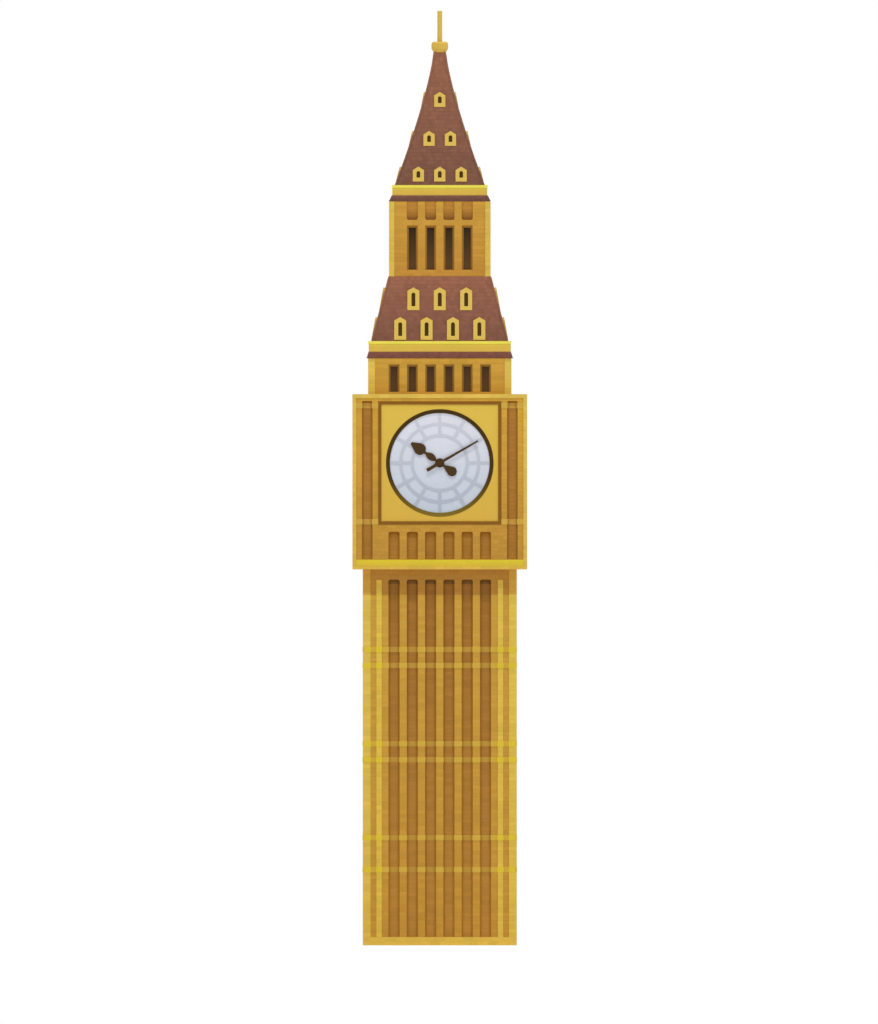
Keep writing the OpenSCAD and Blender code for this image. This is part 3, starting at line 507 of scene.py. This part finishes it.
def gallery_wall_stone():
    """Golden wall with painted light under the eaves, against their shadow, and painted shade on
    the splays round its windows.
    """
    material, g, shader, at = new_finish("gallery wall stone")
    face = toned(g, at, GALLERY_LOW, GALLERY_HIGH, (202, 154, 63), (206, 160, 64))
    face = painted_eaves_light(g, at, face, GALLERY_HIGH, GALLERY_EAVES_LIGHT_DEPTH, GALLERY_EAVES_LIGHT)
    # Painted shade on the window splays.
    splay = g.math("LESS_THAN", at["Depth"], GALLERY_FACE - FACE_MARGIN)
    stone_end(g, shader, at, tinted(g, splay, face, GALLERY_SPLAY_SHADE))
    return material


def lantern_wall_stone():
    """Mid-gold wall with painted light under the eaves, against their shadow, and painted shade
    on the splays round its windows. Its blind panels are painted light at their heads, against
    the eaves' shadow, and darken towards their feet."""
    material, g, shader, at = new_finish("lantern wall stone")
    face = toned(g, at, LANTERN_LOW, LANTERN_HIGH, (196, 142, 59), (202, 154, 62))
    face = painted_eaves_light(g, at, face, LANTERN_HIGH, LANTERN_EAVES_LIGHT_DEPTH, LANTERN_EAVES_LIGHT)
    # Sunk floor of the blind panels: painted light at its head, against the eaves' shadow, darker
    # towards its foot.
    floor = toned(g, at, BLIND_LOW, LANTERN_HIGH, (132, 86, 38), (222, 160, 68))
    sunk = g.math("LESS_THAN", at["Depth"], LANTERN_FACE - BLIND_MARGIN)
    upper = g.math("GREATER_THAN", at["Height"], BLIND_LOW - FACE_MARGIN)
    colour = g.mix(g.math("MULTIPLY", sunk, upper), face, floor)
    # Painted shade on the window splays.
    splay = g.math("MULTIPLY", g.math("LESS_THAN", at["Depth"], LANTERN_FACE - FACE_MARGIN),
                   g.math("SUBTRACT", 1.0, upper))
    stone_end(g, shader, at, tinted(g, splay, colour, LANTERN_SPLAY_SHADE))
    return material


def cornice_gilding():
    """Gilded stone whose fillet, along the top edge, has a brighter yellow painted highlight,
    with painted light just under it against the fillet's shadow.
    """
    material, g, shader, at = new_finish("cornice gilding")
    tones = []
    for low, high in (span("lower_cornice"), span("upper_cornice")):
        tone = toned(g, at, low, high, (219, 182, 76), (218, 185, 77))
        fillet_light = g.ramp(at["Height"], high - FILLET_LIGHT_DEPTH, high - FILLET)
        tone = tinted(g, fillet_light, tone, FILLET_PAINTED_LIGHT)
        fillet = g.math("GREATER_THAN", at["Height"], high - FILLET)
        tones.append(g.mix(fillet, tone, linear(FILLET_HIGHLIGHT)))
    upper = g.math("GREATER_THAN", at["Height"], span("upper_cornice")[0] - CORNICE_MARGIN)
    stone_end(g, shader, at, g.mix(upper, *tones))
    return material


def satin(name, low_level, high_level, low, high, gloss):
    """Painted or gilded finish of one tone that drifts with its height."""
    material, g, shader, at = new_finish(name)
    colour = toned(g, at, low_level, high_level, low, high)
    satin_end(g, shader, at, colour, COAT_MOTTLING, gloss)
    return material


def dial_opal():
    """Opal glass: pale, a little bluer towards the foot, with a soft cloud in it. Its paler head
    is partly painted light, against the ring's shadow.
    """
    material, g, shader, at = new_finish("dial opal")
    colour = toned(g, at, DIAL_LOW, DIAL_HIGH, (193, 203, 216), (227, 228, 238))
    cloud = g.swing(g.noise(at["Point"], scale=3.0, detail=3.0), OPAL_TONE)
    glass_end(g, shader, at, g.times(colour, g.grey(cloud)), OPAL_GLOSS, OPAL_ROUGH,
              smear_scale=14.0, wave_scale=12.0, wave_strength=0.15)
    return material


def dark_glass():
    """Dark window glass that lightens towards each window's foot. Its dark colour is painted
    shade of the rooms behind.
    """
    material, g, shader, at = new_finish("dark glass")
    gallery = toned(g, at, GALLERY_LOW, GALLERY_HIGH, (97, 70, 37), (66, 43, 30))
    lantern = toned(g, at, LANTERN_LOW, LANTERN_LOW + LANTERN_PANE_RISE, (100, 72, 36),
                    (55, 41, 22))
    upper = g.math("GREATER_THAN", at["Height"], (GALLERY_HIGH + LANTERN_LOW) / 2)
    glass_end(g, shader, at, g.mix(upper, gallery, lantern), PANE_GLOSS, PANE_ROUGH,
              smear_scale=9.0, wave_scale=16.0, wave_strength=0.2)
    return material


def roof_colour(g, at):
    """Red-brown that pales towards the top of each roof."""
    lower = toned(g, at, LOWER_ROOF_LOW, LANTERN_LOW, (128, 85, 68), (151, 98, 75))
    spire = toned(g, at, SPIRE_LOW, SPIRE_HIGH, (120, 80, 63), (152, 101, 77))
    return g.mix(g.math("GREATER_THAN", at["Height"], LANTERN_HIGH), lower, spire)


def eaves_colour(g, at):
    """Deep red-brown of the eaves skirts, with painted shade deepest along their lower edges."""
    lower = toned(g, at, *span("lower_eaves"), (113, 70, 56), (128, 81, 67))
    upper = toned(g, at, *span("upper_eaves"), (95, 57, 44), (118, 77, 60))
    return g.mix(g.math("GREATER_THAN", at["Height"], LANTERN_LOW), lower, upper)


def roof_finish(name, shade):
    """Roof clay: the shade over its height, with a small difference from tile to tile."""
    material, g, shader, at = new_finish(name)
    own = g.grey(own_tone(g))
    colour = g.times(shade(g, at), own)
    satin_end(g, shader, at, colour, CLAY_MOTTLING, CLAY_GLOSS)
    return material


def dress(material, *names):
    """Gives CAD nodes their finish, and gives the finish back."""
    for name in names:
        mesh = nodes[name].data
        mesh.materials.clear()
        mesh.materials.append(material)
    return material


def each_side(prefix):
    """Names of the four like nodes, one to a side."""
    return [prefix + side for side in SIDES]


shaft_stone = dress(shaft_wall_stone(), *each_side("shaft_wall_"))
clock_stone = dress(clock_wall_stone(), *each_side("clock_wall_"))
gallery_stone = dress(gallery_wall_stone(), "gallery_walls")
lantern_stone = dress(lantern_wall_stone(), "lantern_walls")
pilaster_trim = dress(pilaster_stone(), "shaft_pilasters")
shaft_trim = dress(plain_stone("shaft trim stone", 0, SHAFT_HIGH, (216, 180, 73),
                               (219, 189, 80), shaded=True), "shaft_corner_piers")
plinth_trim = dress(plain_stone("plinth stone", 0, SHAFT_LOW, (224, 186, 78), (218, 181, 75)),
                    "plinth")
stage_trim = dress(plain_stone("stage trim stone", WALL_LOW, WALL_HIGH, (217, 178, 80),
                               (221, 187, 84)), "clock_corner_piers", "gallery_floor")
stage_foot = dress(plain_stone("stage foot stone", SHAFT_HIGH, WALL_LOW, (220, 178, 82),
                               (214, 180, 66)), "clock_stage_base")
gallery_trim = dress(plain_stone("gallery pier stone", GALLERY_LOW, GALLERY_HIGH,
                                 (219, 186, 83), (227, 195, 88)), "gallery_corner_piers")
lantern_trim = dress(plain_stone("lantern pier stone", LANTERN_LOW, LANTERN_HIGH,
                                 (217, 183, 79), (219, 187, 82)), "lantern_corner_piers")
dress(band_stone("string course stone", SHAFT_FACE, on_wall=(207, 168, 67),
                 on_edge=(170, 130, 44), on_floor=(191, 149, 62)), "string_courses")
dress(band_stone("side band stone", CLOCK_FACE, on_wall=(204, 165, 71),
                 on_edge=(176, 131, 50), on_floor=(198, 153, 67)), "clock_side_bands")
dress(plain_stone("stage gilding", WALL_LOW, BAND_HIGH, (217, 184, 60), (218, 200, 52)),
      "clock_stage_band")
dress(cornice_gilding(), "lower_cornice", "upper_cornice")
dress(satin("gilded finial", SPIRE_HIGH, TOWER_TOP, (218, 181, 78), (215, 183, 84),
            GILDING_GLOSS), "finial")
dress(satin("dormer gilding", LOWER_ROOF_LOW, SPIRE_HIGH, (218, 185, 86), (218, 184, 88),
            GILDING_GLOSS), "lower_dormers", "spire_dormers")
dress(satin("dial surround gilding", FRAME_LOW, FRAME_HIGH, (215, 175, 70), (223, 189, 77),
            GILDING_GLOSS), "dial_surrounds")
dress(satin("dial frame paint", FRAME_LOW, FRAME_HIGH, (136, 90, 27), (138, 91, 26),
            FRAME_GLOSS), "dial_frames")
dress(satin("dial ring bronze", DIAL_LOW, RING_DARK_LEVEL, (123, 101, 31), (74, 53, 22),
            BRONZE_GLOSS), "dial_rings")
dress(satin("tracery paint", DIAL_LOW, DIAL_HIGH, (171, 180, 193), (209, 211, 222),
            TRACERY_GLOSS), "dial_traceries")
dress(satin("hand bronze", 0, WALL_HIGH, (77, 56, 30), (77, 56, 30), BRONZE_GLOSS),
      *each_side("hour_hand_"), *each_side("minute_hand_"))
dress(satin("dormer glass", LOWER_ROOF_LOW, SPIRE_HIGH, (72, 54, 20), (72, 54, 22),
            DORMER_GLASS_GLOSS), "dormer_panes")
dress(dial_opal(), "dial_glasses")
dress(dark_glass(), "window_panes")
roof_clay = dress(roof_finish("roof clay", roof_colour),
                  "lower_roof_slopes", "spire_slopes", "roof_hips", "lantern_floor")
eaves_clay = dress(roof_finish("eaves clay", eaves_colour), "lower_eaves", "upper_eaves")


# Tiles and stones

def joined_solids(name, corners, quads, material, seed, spread):
    """Many like solids as one piece. The corners of one side's solids are carried to the four
    sides by quarter turns about the axis, and each solid keeps a small tint of its own."""
    turn = np.arange(len(SIDES)) * math.pi / 2
    cos, sin = np.cos(turn)[:, None, None], np.sin(turn)[:, None, None]
    x, y, z = corners[None, ..., 0], corners[None, ..., 1], corners[None, ..., 2]
    points = np.stack(np.broadcast_arrays(x * cos - y * sin, x * sin + y * cos, z), axis=-1)
    solids, per_solid = len(SIDES) * corners.shape[0], corners.shape[1]
    faces = (np.arange(solids)[:, None, None] * per_solid + np.asarray(quads)).reshape(-1, 4)
    mesh = bpy.data.meshes.new(name)
    mesh.vertices.add(solids * per_solid)
    mesh.vertices.foreach_set("co", points.astype(np.float32).ravel())
    mesh.loops.add(faces.size)
    mesh.loops.foreach_set("vertex_index", faces.astype(np.int32).ravel())
    mesh.polygons.add(len(faces))
    mesh.polygons.foreach_set("loop_start", np.arange(0, faces.size, 4, dtype=np.int32))
    mesh.update(calc_edges=True)
    mesh.shade_flat()
    tint = np.random.default_rng(seed).uniform(-spread, spread, solids)
    mesh.attributes.new(PIECE_TINT, "FLOAT", "POINT").data.foreach_set(
        "value", np.repeat(tint, per_solid).astype(np.float32))
    mesh.materials.append(material)
    piece = bpy.data.objects.new(name, mesh)
    scene.collection.objects.link(piece)
    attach(piece, "tower")


TILE_W, TILE_GAP = 0.036, 0.001
TILE_RISE, TILE_SEAT = 0.0018, 0.0004
TILE_TUCK = 0.25        # share of a row that its head reaches under the next one
TILE_LEAST = 0.05       # share of its width below which a cut tile is left out
TILE_POINT = 0.0005     # least width of a cut tile's head
TILE_SPREAD = 0.1
TILE_QUADS = [[0, 1, 2, 3], [3, 2, 4, 5], [0, 3, 5, 7], [1, 6, 4, 2], [5, 4, 6, 7], [0, 7, 6, 1]]
LOWER_ROOF_ROWS, SPIRE_ROWS, EAVES_ROWS = 16, 32, 2


def slope_rows(levels, halves, row_count):
    """Rows at even steps up a slope, a line of half-width against level. Gives the level and
    half-width of each row's foot and of its head, which tucks under the next row."""
    levels, halves = np.asarray(levels, float), np.asarray(halves, float)
    run = np.concatenate([[0], np.cumsum(np.hypot(np.diff(levels), np.diff(halves)))])
    steps = np.linspace(0, run[-1], row_count + 1)
    foot_run = steps[:-1]
    head_run = np.minimum(foot_run + (1 + TILE_TUCK) * np.diff(steps), run[-1])
    return (np.interp(foot_run, run, levels), np.interp(foot_run, run, halves),
            np.interp(head_run, run, levels), np.interp(head_run, run, halves))


def tile_slopes(name, levels, halves, row_count, rib, material, seed):
    """Rows of tiles on four like slopes. Each tile is a wedge with its foot raised off the
    slope, and tiles past the hip rib are cut to it. Odd rows shift by half a tile."""
    foot_z, foot_d, head_z, head_d = slope_rows(levels, halves, row_count)
    count = int(np.ceil(2 * foot_d.max() / TILE_W)) + 2
    count += count % 2
    columns = np.arange(count) - count / 2
    odd_row = np.arange(row_count)[:, None] % 2
    left = (columns[None, :] + 0.5 * odd_row) * TILE_W
    right = left + TILE_W - TILE_GAP
    foot_limit, head_limit = (foot_d - rib)[:, None], (head_d - rib)[:, None]
    foot_left, foot_right = np.maximum(left, -foot_limit), np.minimum(right, foot_limit)
    r, c = np.nonzero(foot_right - foot_left > TILE_LEAST * TILE_W)
    foot_l, foot_r = foot_left[r, c], foot_right[r, c]
    head_l = np.clip(left, -head_limit, head_limit - TILE_POINT)[r, c]
    head_r = np.clip(right, TILE_POINT - head_limit, head_limit)[r, c]
    slope = np.arctan2(foot_d - head_d, head_z - foot_z)

    def corner(x, distance, level, off):
        return np.stack([x, -(distance + np.cos(slope) * off)[r],
                         (level + np.sin(slope) * off)[r]], axis=1)

    foot, head = (foot_d, foot_z), (head_d, head_z)
    tile = np.stack([corner(foot_l, *foot, -TILE_SEAT), corner(foot_r, *foot, -TILE_SEAT),
                     corner(foot_r, *foot, TILE_RISE), corner(foot_l, *foot, TILE_RISE),
                     corner(head_r, *head, TILE_SEAT), corner(head_l, *head, TILE_SEAT),
                     corner(head_r, *head, -TILE_SEAT), corner(head_l, *head, -TILE_SEAT)],
                    axis=1)
    joined_solids(name, tile, TILE_QUADS, material, seed, TILE_SPREAD)


HIP_RIB, HIP_PROUD, HIP_LAP = 0.017, 0.005, 0.0006
HIP_QUADS = [[0, 1, 7, 6], [1, 2, 8, 7], [9, 10, 4, 3], [10, 11, 5, 4], [3, 0, 6, 9],
             [2, 5, 11, 8], [0, 3, 4, 1], [1, 4, 5, 2], [7, 10, 9, 6], [8, 11, 10, 7]]


def hip_tiles(name, levels, halves, row_count, material, seed):
    """Angled tiles up the four hip ribs. In plan each is an L round the hip's corner, with a
    raised foot: three outer corners and three seated ones, at its foot and at its head."""
    foot_z, foot_d, head_z, head_d = slope_rows(levels, halves, row_count)

    def angle(level, half, out):
        corner = half + HIP_PROUD + out
        leg = half + HIP_PROUD - HIP_RIB - HIP_LAP
        return np.stack([np.stack([leg, -corner, level], 1),
                         np.stack([corner, -corner, level], 1),
                         np.stack([corner, -leg, level], 1)], 1)

    tile = np.concatenate([angle(foot_z, foot_d, TILE_RISE), angle(foot_z, foot_d, -TILE_SEAT),
                           angle(head_z, head_d, TILE_SEAT), angle(head_z, head_d, -TILE_SEAT)],
                          axis=1)
    joined_solids(name, tile, HIP_QUADS, material, seed, TILE_SPREAD)


def tile_roofs():
    """Tiles of the lower roof, of the spire, whose half-width falls from foot to top as a power
    of the height that is left, and of the two eaves, which have no hip ribs."""
    levels = [LOWER_ROOF_LOW, LANTERN_LOW]
    tile_slopes("lower_roof_tiles", levels, LOWER_ROOF_HALVES, LOWER_ROOF_ROWS, HIP_RIB,
                roof_clay, seed=11)
    hip_tiles("lower_hip_tiles", levels, LOWER_ROOF_HALVES, LOWER_ROOF_ROWS, roof_clay, seed=15)
    share = np.arange(SPIRE_STEPS + 1) / SPIRE_STEPS
    halves = SPIRE_TOP_HALF + (SPIRE_FOOT_HALF - SPIRE_TOP_HALF) * (1 - share) ** SPIRE_CURVE
    levels = SPIRE_LOW + (SPIRE_HIGH - SPIRE_LOW) * share
    tile_slopes("spire_tiles", levels, halves, SPIRE_ROWS, HIP_RIB, roof_clay, seed=12)
    hip_tiles("spire_hip_tiles", levels, halves, SPIRE_ROWS, roof_clay, seed=16)
    tile_slopes("lower_eaves_tiles", span("lower_eaves"), LOWER_EAVES_HALVES, EAVES_ROWS, 0.0,
                eaves_clay, seed=13)
    tile_slopes("upper_eaves_tiles", span("upper_eaves"), UPPER_EAVES_HALVES, EAVES_ROWS, 0.0,
                eaves_clay, seed=14)


STONE_LENGTH, STONE_HEIGHT, SLAB_LENGTH = 0.096, 0.042, 0.2
STONE_RISE, STONE_SEAT, STONE_JOINT = 0.0012, 0.0003, 0.0008
SLAB_CLEARANCE = 0.0016
STONE_SPREAD = 0.06
STONE_QUADS = [[0, 1, 5, 4], [1, 2, 6, 5], [2, 3, 7, 6], [3, 0, 4, 7], [4, 5, 6, 7], [3, 2, 1, 0]]


def courses(*breaks):
    """Levels of whole courses from break to break, each about one stone high."""
    spans = [np.linspace(a, b, max(1, round((b - a) / STONE_HEIGHT)) + 1)[:-1]
             for a, b in zip(breaks[:-1], breaks[1:])]
    return np.concatenate(spans + [[breaks[-1]]])


def bonded(left, right, distance, levels):
    """Stones of one flat field in running bond: whole stones in even courses, and half a stone
    at both ends of odd ones. Gives each stone's left, right, foot, head and distance."""
    count = max(1, round((right - left) / STONE_LENGTH))
    whole = np.linspace(left, right, count + 1)
    halved = np.concatenate([[left], (whole[:-1] + whole[1:]) / 2, [right]])
    stones = []
    for first, ends in ((0, whole), (1, whole if count == 1 else halved)):
        a, low = np.meshgrid(ends[:-1], levels[:-1][first::2])
        b, high = np.meshgrid(ends[1:], levels[1:][first::2])
        a = a + STONE_JOINT / 2 * (a > left)
        b = b - STONE_JOINT / 2 * (b < right)
        stones.append(np.stack([a, b, low + STONE_JOINT / 2, high - STONE_JOINT / 2,
                                np.full_like(a, distance)], -1).reshape(-1, 5))
    return np.concatenate(stones)


def facing(name, fields, material, seed):
    """Dressed stones on the four sides, from fields of (left, right, distance, levels). Each
    stone is a slab: a ring of four corners seated on the wall, and a smaller one in front."""
    left, right, low, high, distance = np.concatenate([bonded(*f) for f in fields]).T

    def ring(inset, out):
        x = np.stack([left + inset, right - inset, right - inset, left + inset], 1)
        z = np.stack([low + inset, low + inset, high - inset, high - inset], 1)
        return np.stack([x, np.broadcast_to(-(distance + out)[:, None], x.shape), z], -1)

    stones = np.concatenate([ring(0, -STONE_SEAT), ring(STONE_RISE, STONE_RISE)], axis=1)
    joined_solids(name, stones, STONE_QUADS, material, seed, STONE_SPREAD)


def coping(name, inner, outer, level, material, seed):
    """Slabs on a square ledge between two distances from the axis. One side's row runs from an
    outer corner to the line of the far inner edge, so that four quarter turns close the square.
    Each slab is a ring of four corners seated on the ledge, and a smaller one above it."""
    ends = np.linspace(-outer, inner, round((inner + outer) / SLAB_LENGTH) + 1)
    left, right = ends[:-1] + STONE_JOINT / 2, ends[1:] - STONE_JOINT / 2
    left[0] = -outer

    def ring(inset, up):
        x = np.stack([left + inset, right - inset, right - inset, left + inset], 1)
        front, back = inset - outer, -inner - SLAB_CLEARANCE - inset
        y = np.broadcast_to(np.array([front, front, back, back]), x.shape)
        return np.stack([x, y, np.full_like(x, level + up)], -1)

    slabs = np.concatenate([ring(0, -STONE_SEAT), ring(STONE_RISE, STONE_RISE)], axis=1)
    joined_solids(name, slabs, STONE_QUADS, material, seed, STONE_SPREAD)


def centres(count):
    """Middles of a row of like bays or windows, evenly about the middle of a side."""
    return (np.arange(count) - (count - 1) / 2) * BAY_PITCH


def mirrored(left, right, *rest):
    """A field and its mirror image across the middle of the side."""
    return [(left, right, *rest), (-right, -left, *rest)]


def across(half, *rest):
    """One field across the middle of the side."""
    return [(-half, half, *rest)]


def between(places, half, *rest):
    """Fields between neighbouring openings of the given half-width."""
    return [(a + half, b - half, *rest) for a, b in zip(places[:-1], places[1:])]


def inside(places, half, *rest):
    """Fields within openings of the given half-width."""
    return [(x - half, x + half, *rest) for x in places]


bays, lights = centres(BAY_COUNT), centres(LIGHT_COUNT)
bays_end = bays[-1] + BAY_HALF


def face_shaft():
    """Stones of the shaft: walls round and in the bays, corner piers, pilasters and plinth."""
    edge = SHAFT_HALF - SHAFT_PIER
    wall = SHAFT_FACE, courses(SHAFT_LOW, BAY_HEAD)
    facing("shaft_facing",
           between(bays, BAY_HALF, *wall)
           + mirrored(bays_end, PILASTER_IN, *wall)
           + mirrored(PILASTER_OUT, edge, *wall)
           + inside(bays, BAY_HALF - BAY_RIM, SHAFT_FACE - BAY_DEPTH,
                    courses(SHAFT_LOW, BAY_HEAD - BAY_RIM - BAY_ROUND))
           + across(edge, SHAFT_FACE, courses(BAY_HEAD, SHAFT_HIGH)),
           shaft_stone, seed=21)
    facing("shaft_pier_facing",
           mirrored(edge, SHAFT_HALF, SHAFT_HALF, courses(SHAFT_LOW, BAY_HEAD, SHAFT_HIGH)),
           shaft_trim, seed=22)
    facing("pilaster_facing",
           mirrored(PILASTER_IN, PILASTER_OUT, SHAFT_HALF, courses(SHAFT_LOW, BAY_HEAD)),
           pilaster_trim, seed=23)
    facing("plinth_facing", across(SHAFT_HALF, SHAFT_HALF, courses(0.0, SHAFT_LOW)),
           plinth_trim, seed=24)


def face_clock_stage():
    """Stones of the clock stage: walls round and in the panels and round the dial's frame,
    corner piers, the edge of the gallery's floor, and the base moulding."""
    edge = CLOCK_HALF - CLOCK_PIER
    side_in, side_out = SIDE_PANEL - SIDE_PANEL_HALF, SIDE_PANEL + SIDE_PANEL_HALF
    foot = CLOCK_FACE, courses(BAND_HIGH, PANEL_HIGH)
    facing("clock_wall_facing",
           between(bays, BAY_HALF, *foot)
           + mirrored(bays_end, side_in, *foot)
           + inside(bays, BAY_HALF - BAY_RIM, CLOCK_FACE - BAY_DEPTH,
                    courses(PANEL_LOW, PANEL_HIGH - BAY_RIM - BAY_ROUND))
           + inside((-SIDE_PANEL, SIDE_PANEL), SIDE_PANEL_HALF - BAY_RIM, CLOCK_FACE - BAY_DEPTH,
                    courses(PANEL_LOW, SIDE_PANEL_HIGH - BAY_RIM - BAY_ROUND))
           + mirrored(side_out, edge, CLOCK_FACE,
                      courses(BAND_HIGH, PANEL_HIGH, FRAME_LOW, FRAME_HIGH, WALL_HIGH))
           + across(side_in, CLOCK_FACE, courses(PANEL_HIGH, FRAME_LOW))
           + across(side_in, CLOCK_FACE, courses(FRAME_HIGH, WALL_HIGH))
           + mirrored(FRAME_HALF, side_in, CLOCK_FACE, courses(FRAME_LOW, FRAME_HIGH)),
           clock_stone, seed=25)
    facing("stage_trim_facing",
           mirrored(edge, CLOCK_HALF, CLOCK_HALF, courses(WALL_LOW, WALL_HIGH))
           + across(CLOCK_HALF, CLOCK_HALF, courses(*span("gallery_floor"))),
           stage_trim, seed=26)
    facing("stage_foot_facing", across(CLOCK_HALF, CLOCK_HALF, courses(SHAFT_HIGH, WALL_LOW)),
           stage_foot, seed=27)


def face_gallery():
    """Stones of the gallery: walls round the windows, the ledge before them, corner piers."""
    edge = GALLERY_HALF - GALLERY_PIER
    row = GALLERY_FACE, courses(GALLERY_SILL, GALLERY_HEAD)
    facing("gallery_facing",
           between(bays, WINDOW_HALF, *row)
           + mirrored(bays[-1] + WINDOW_HALF, edge, *row)
           + across(edge, GALLERY_FACE, courses(GALLERY_LOW, GALLERY_SILL))
           + across(edge, GALLERY_FACE, courses(GALLERY_HEAD, GALLERY_HIGH)),
           gallery_stone, seed=28)
    coping("gallery_coping_slabs", GALLERY_HALF, CLOCK_HALF, GALLERY_LOW, stage_trim,
           seed=32)
    facing("gallery_pier_facing",
           mirrored(edge, GALLERY_HALF, GALLERY_HALF,
                    courses(GALLERY_LOW, GALLERY_SILL, GALLERY_HEAD, GALLERY_HIGH)),
           gallery_trim, seed=29)


def face_lantern():
    """Stones of the lantern: walls round the windows, round and in the blind panels, and
    corner piers."""
    edge = LANTERN_HALF - LANTERN_PIER
    row = LANTERN_FACE, courses(LANTERN_SILL, LANTERN_HEAD)
    blind = LANTERN_FACE, courses(BLIND_LOW, LANTERN_HIGH)
    facing("lantern_facing",
           between(lights, WINDOW_HALF, *row)
           + mirrored(lights[-1] + WINDOW_HALF, edge, *row)
           + between(lights, BLIND_HALF, *blind)
           + mirrored(lights[-1] + BLIND_HALF, edge, *blind)
           + inside(lights, BLIND_HALF, LANTERN_FACE - BLIND_DEPTH,
                    courses(BLIND_LOW + BLIND_ROUND, LANTERN_HIGH))
           + across(edge, LANTERN_FACE, courses(LANTERN_LOW, LANTERN_SILL))
           + across(edge, LANTERN_FACE, courses(LANTERN_HEAD, BLIND_LOW)),
           lantern_stone, seed=30)
    facing("lantern_pier_facing",
           mirrored(edge, LANTERN_HALF, LANTERN_HALF,
                    courses(LANTERN_LOW, LANTERN_SILL, LANTERN_HEAD, BLIND_LOW, LANTERN_HIGH)),
           lantern_trim, seed=31)


tile_roofs()
face_shaft()
face_clock_stage()
face_gallery()
face_lantern()


# Floor, light and camera

FLOOR_RADIUS, FLOOR_RINGS, FLOOR_SPOKES = 60.0, 4, 64
FLOOR_TONE, FLOOR_ROUGH = (0.83, 0.86), 0.9
WHITE = (1, 1, 1, 1)
SURROUND, SURROUND_ALONG_Y, SURROUND_ALONG_X = 0.60, -0.12, 0.07
# Strength of each side's sun, its height and the angle that it fills, in degrees
SUNS = {"front": (1.1, 67, 4), "right": (0.4, 45, 30), "back": (0.6, 45, 30),
        "left": (0.2, 45, 30)}
PIXEL, PICTURE_HEIGHT = 0.010274, 1024
CAMERA_PLACE, CAMERA_RANGE = (-0.008, -24.0, 4.452), 200


def make_floor():
    """Round pale floor: a disc of rings and spokes, each point at radius times direction."""
    rings = np.linspace(0.0, FLOOR_RADIUS, FLOOR_RINGS + 1)[1:]
    spokes = np.linspace(0, 2 * math.pi, FLOOR_SPOKES + 1)[:-1]
    radius, angle = np.meshgrid(rings, spokes, indexing="ij")
    flat = np.stack([radius * np.cos(angle), radius * np.sin(angle), 0 * radius], -1)
    points = np.concatenate([flat.reshape(-1, 3), [[0, 0, 0]]])
    here = np.arange(FLOOR_SPOKES)
    after = (here + 1) % FLOOR_SPOKES
    start = np.arange(FLOOR_RINGS - 1)[:, None] * FLOOR_SPOKES
    a, b = start + here, start + after
    quads = np.stack([a, a + FLOOR_SPOKES, b + FLOOR_SPOKES, b], -1).reshape(-1, 4)
    fan = np.stack([np.full(FLOOR_SPOKES, len(points) - 1), here, after], -1)
    mesh = bpy.data.meshes.new("floor")
    mesh.from_pydata(points.tolist(), [], quads.tolist() + fan.tolist())
    material = bpy.data.materials.new("pale floor")
    material.use_nodes = True
    g = Graph(material.node_tree)
    shader = material.node_tree.nodes["Principled BSDF"]
    point = g.add("ShaderNodeTexCoord").outputs["Object"]
    cloud = g.swing(g.noise(point, scale=0.8, detail=4.0), FLOOR_TONE)
    g.feed(shader.inputs["Base Color"], g.grey(cloud))
    shader.inputs["Roughness"].default_value = FLOOR_ROUGH
    mesh.materials.append(material)
    floor = bpy.data.objects.new("floor", mesh)
    scene.collection.objects.link(floor)


def make_light():
    """White surroundings, a little stronger from the front and the right, and a high sun for
    each side."""
    world = bpy.data.worlds.new("studio")
    scene.world = world
    world.use_nodes = True
    world.node_tree.nodes.clear()
    g = Graph(world.node_tree)
    direction = g.add("ShaderNodeTexCoord").outputs["Generated"]
    xyz = g.add("ShaderNodeSeparateXYZ", {0: direction}).outputs
    strength = g.math("ADD", SURROUND, g.math("MULTIPLY", xyz["Y"], SURROUND_ALONG_Y))
    strength = g.math("ADD", strength, g.math("MULTIPLY", xyz["X"], SURROUND_ALONG_X))
    soft = g.add("ShaderNodeBackground", {"Color": WHITE, "Strength": strength})
    plain = g.add("ShaderNodeBackground", {"Color": WHITE, "Strength": 1.0})
    seen = g.add("ShaderNodeLightPath").outputs["Is Camera Ray"]
    shown = g.add("ShaderNodeMixShader", {0: seen, 1: soft.outputs[0], 2: plain.outputs[0]})
    end = g.add("ShaderNodeOutputWorld")
    g.feed(end.inputs["Surface"], shown.outputs[0])
    for turn, side in enumerate(SIDES):
        energy, height, width = SUNS[side]
        lamp = bpy.data.lights.new("sun_" + side, "SUN")
        lamp.energy = energy
        lamp.angle = math.radians(width)
        sun = bpy.data.objects.new("sun_" + side, lamp)
        sun.rotation_euler = (math.radians(90 - height), 0, math.pi / 2 * turn)
        scene.collection.objects.link(sun)


def make_camera():
    """Straight elevation of the front: a parallel view, its height the picture's pixels times
    the size of one."""
    data = bpy.data.cameras.new("camera")
    data.type = "ORTHO"
    data.ortho_scale = PICTURE_HEIGHT * PIXEL
    data.clip_end = CAMERA_RANGE
    camera = bpy.data.objects.new("camera", data)
    camera.location = CAMERA_PLACE
    camera.rotation_euler = (math.pi / 2, 0, 0)
    scene.collection.objects.link(camera)
    scene.camera = camera


make_floor()
make_light()
make_camera()
scene.view_settings.view_transform = "Standard"
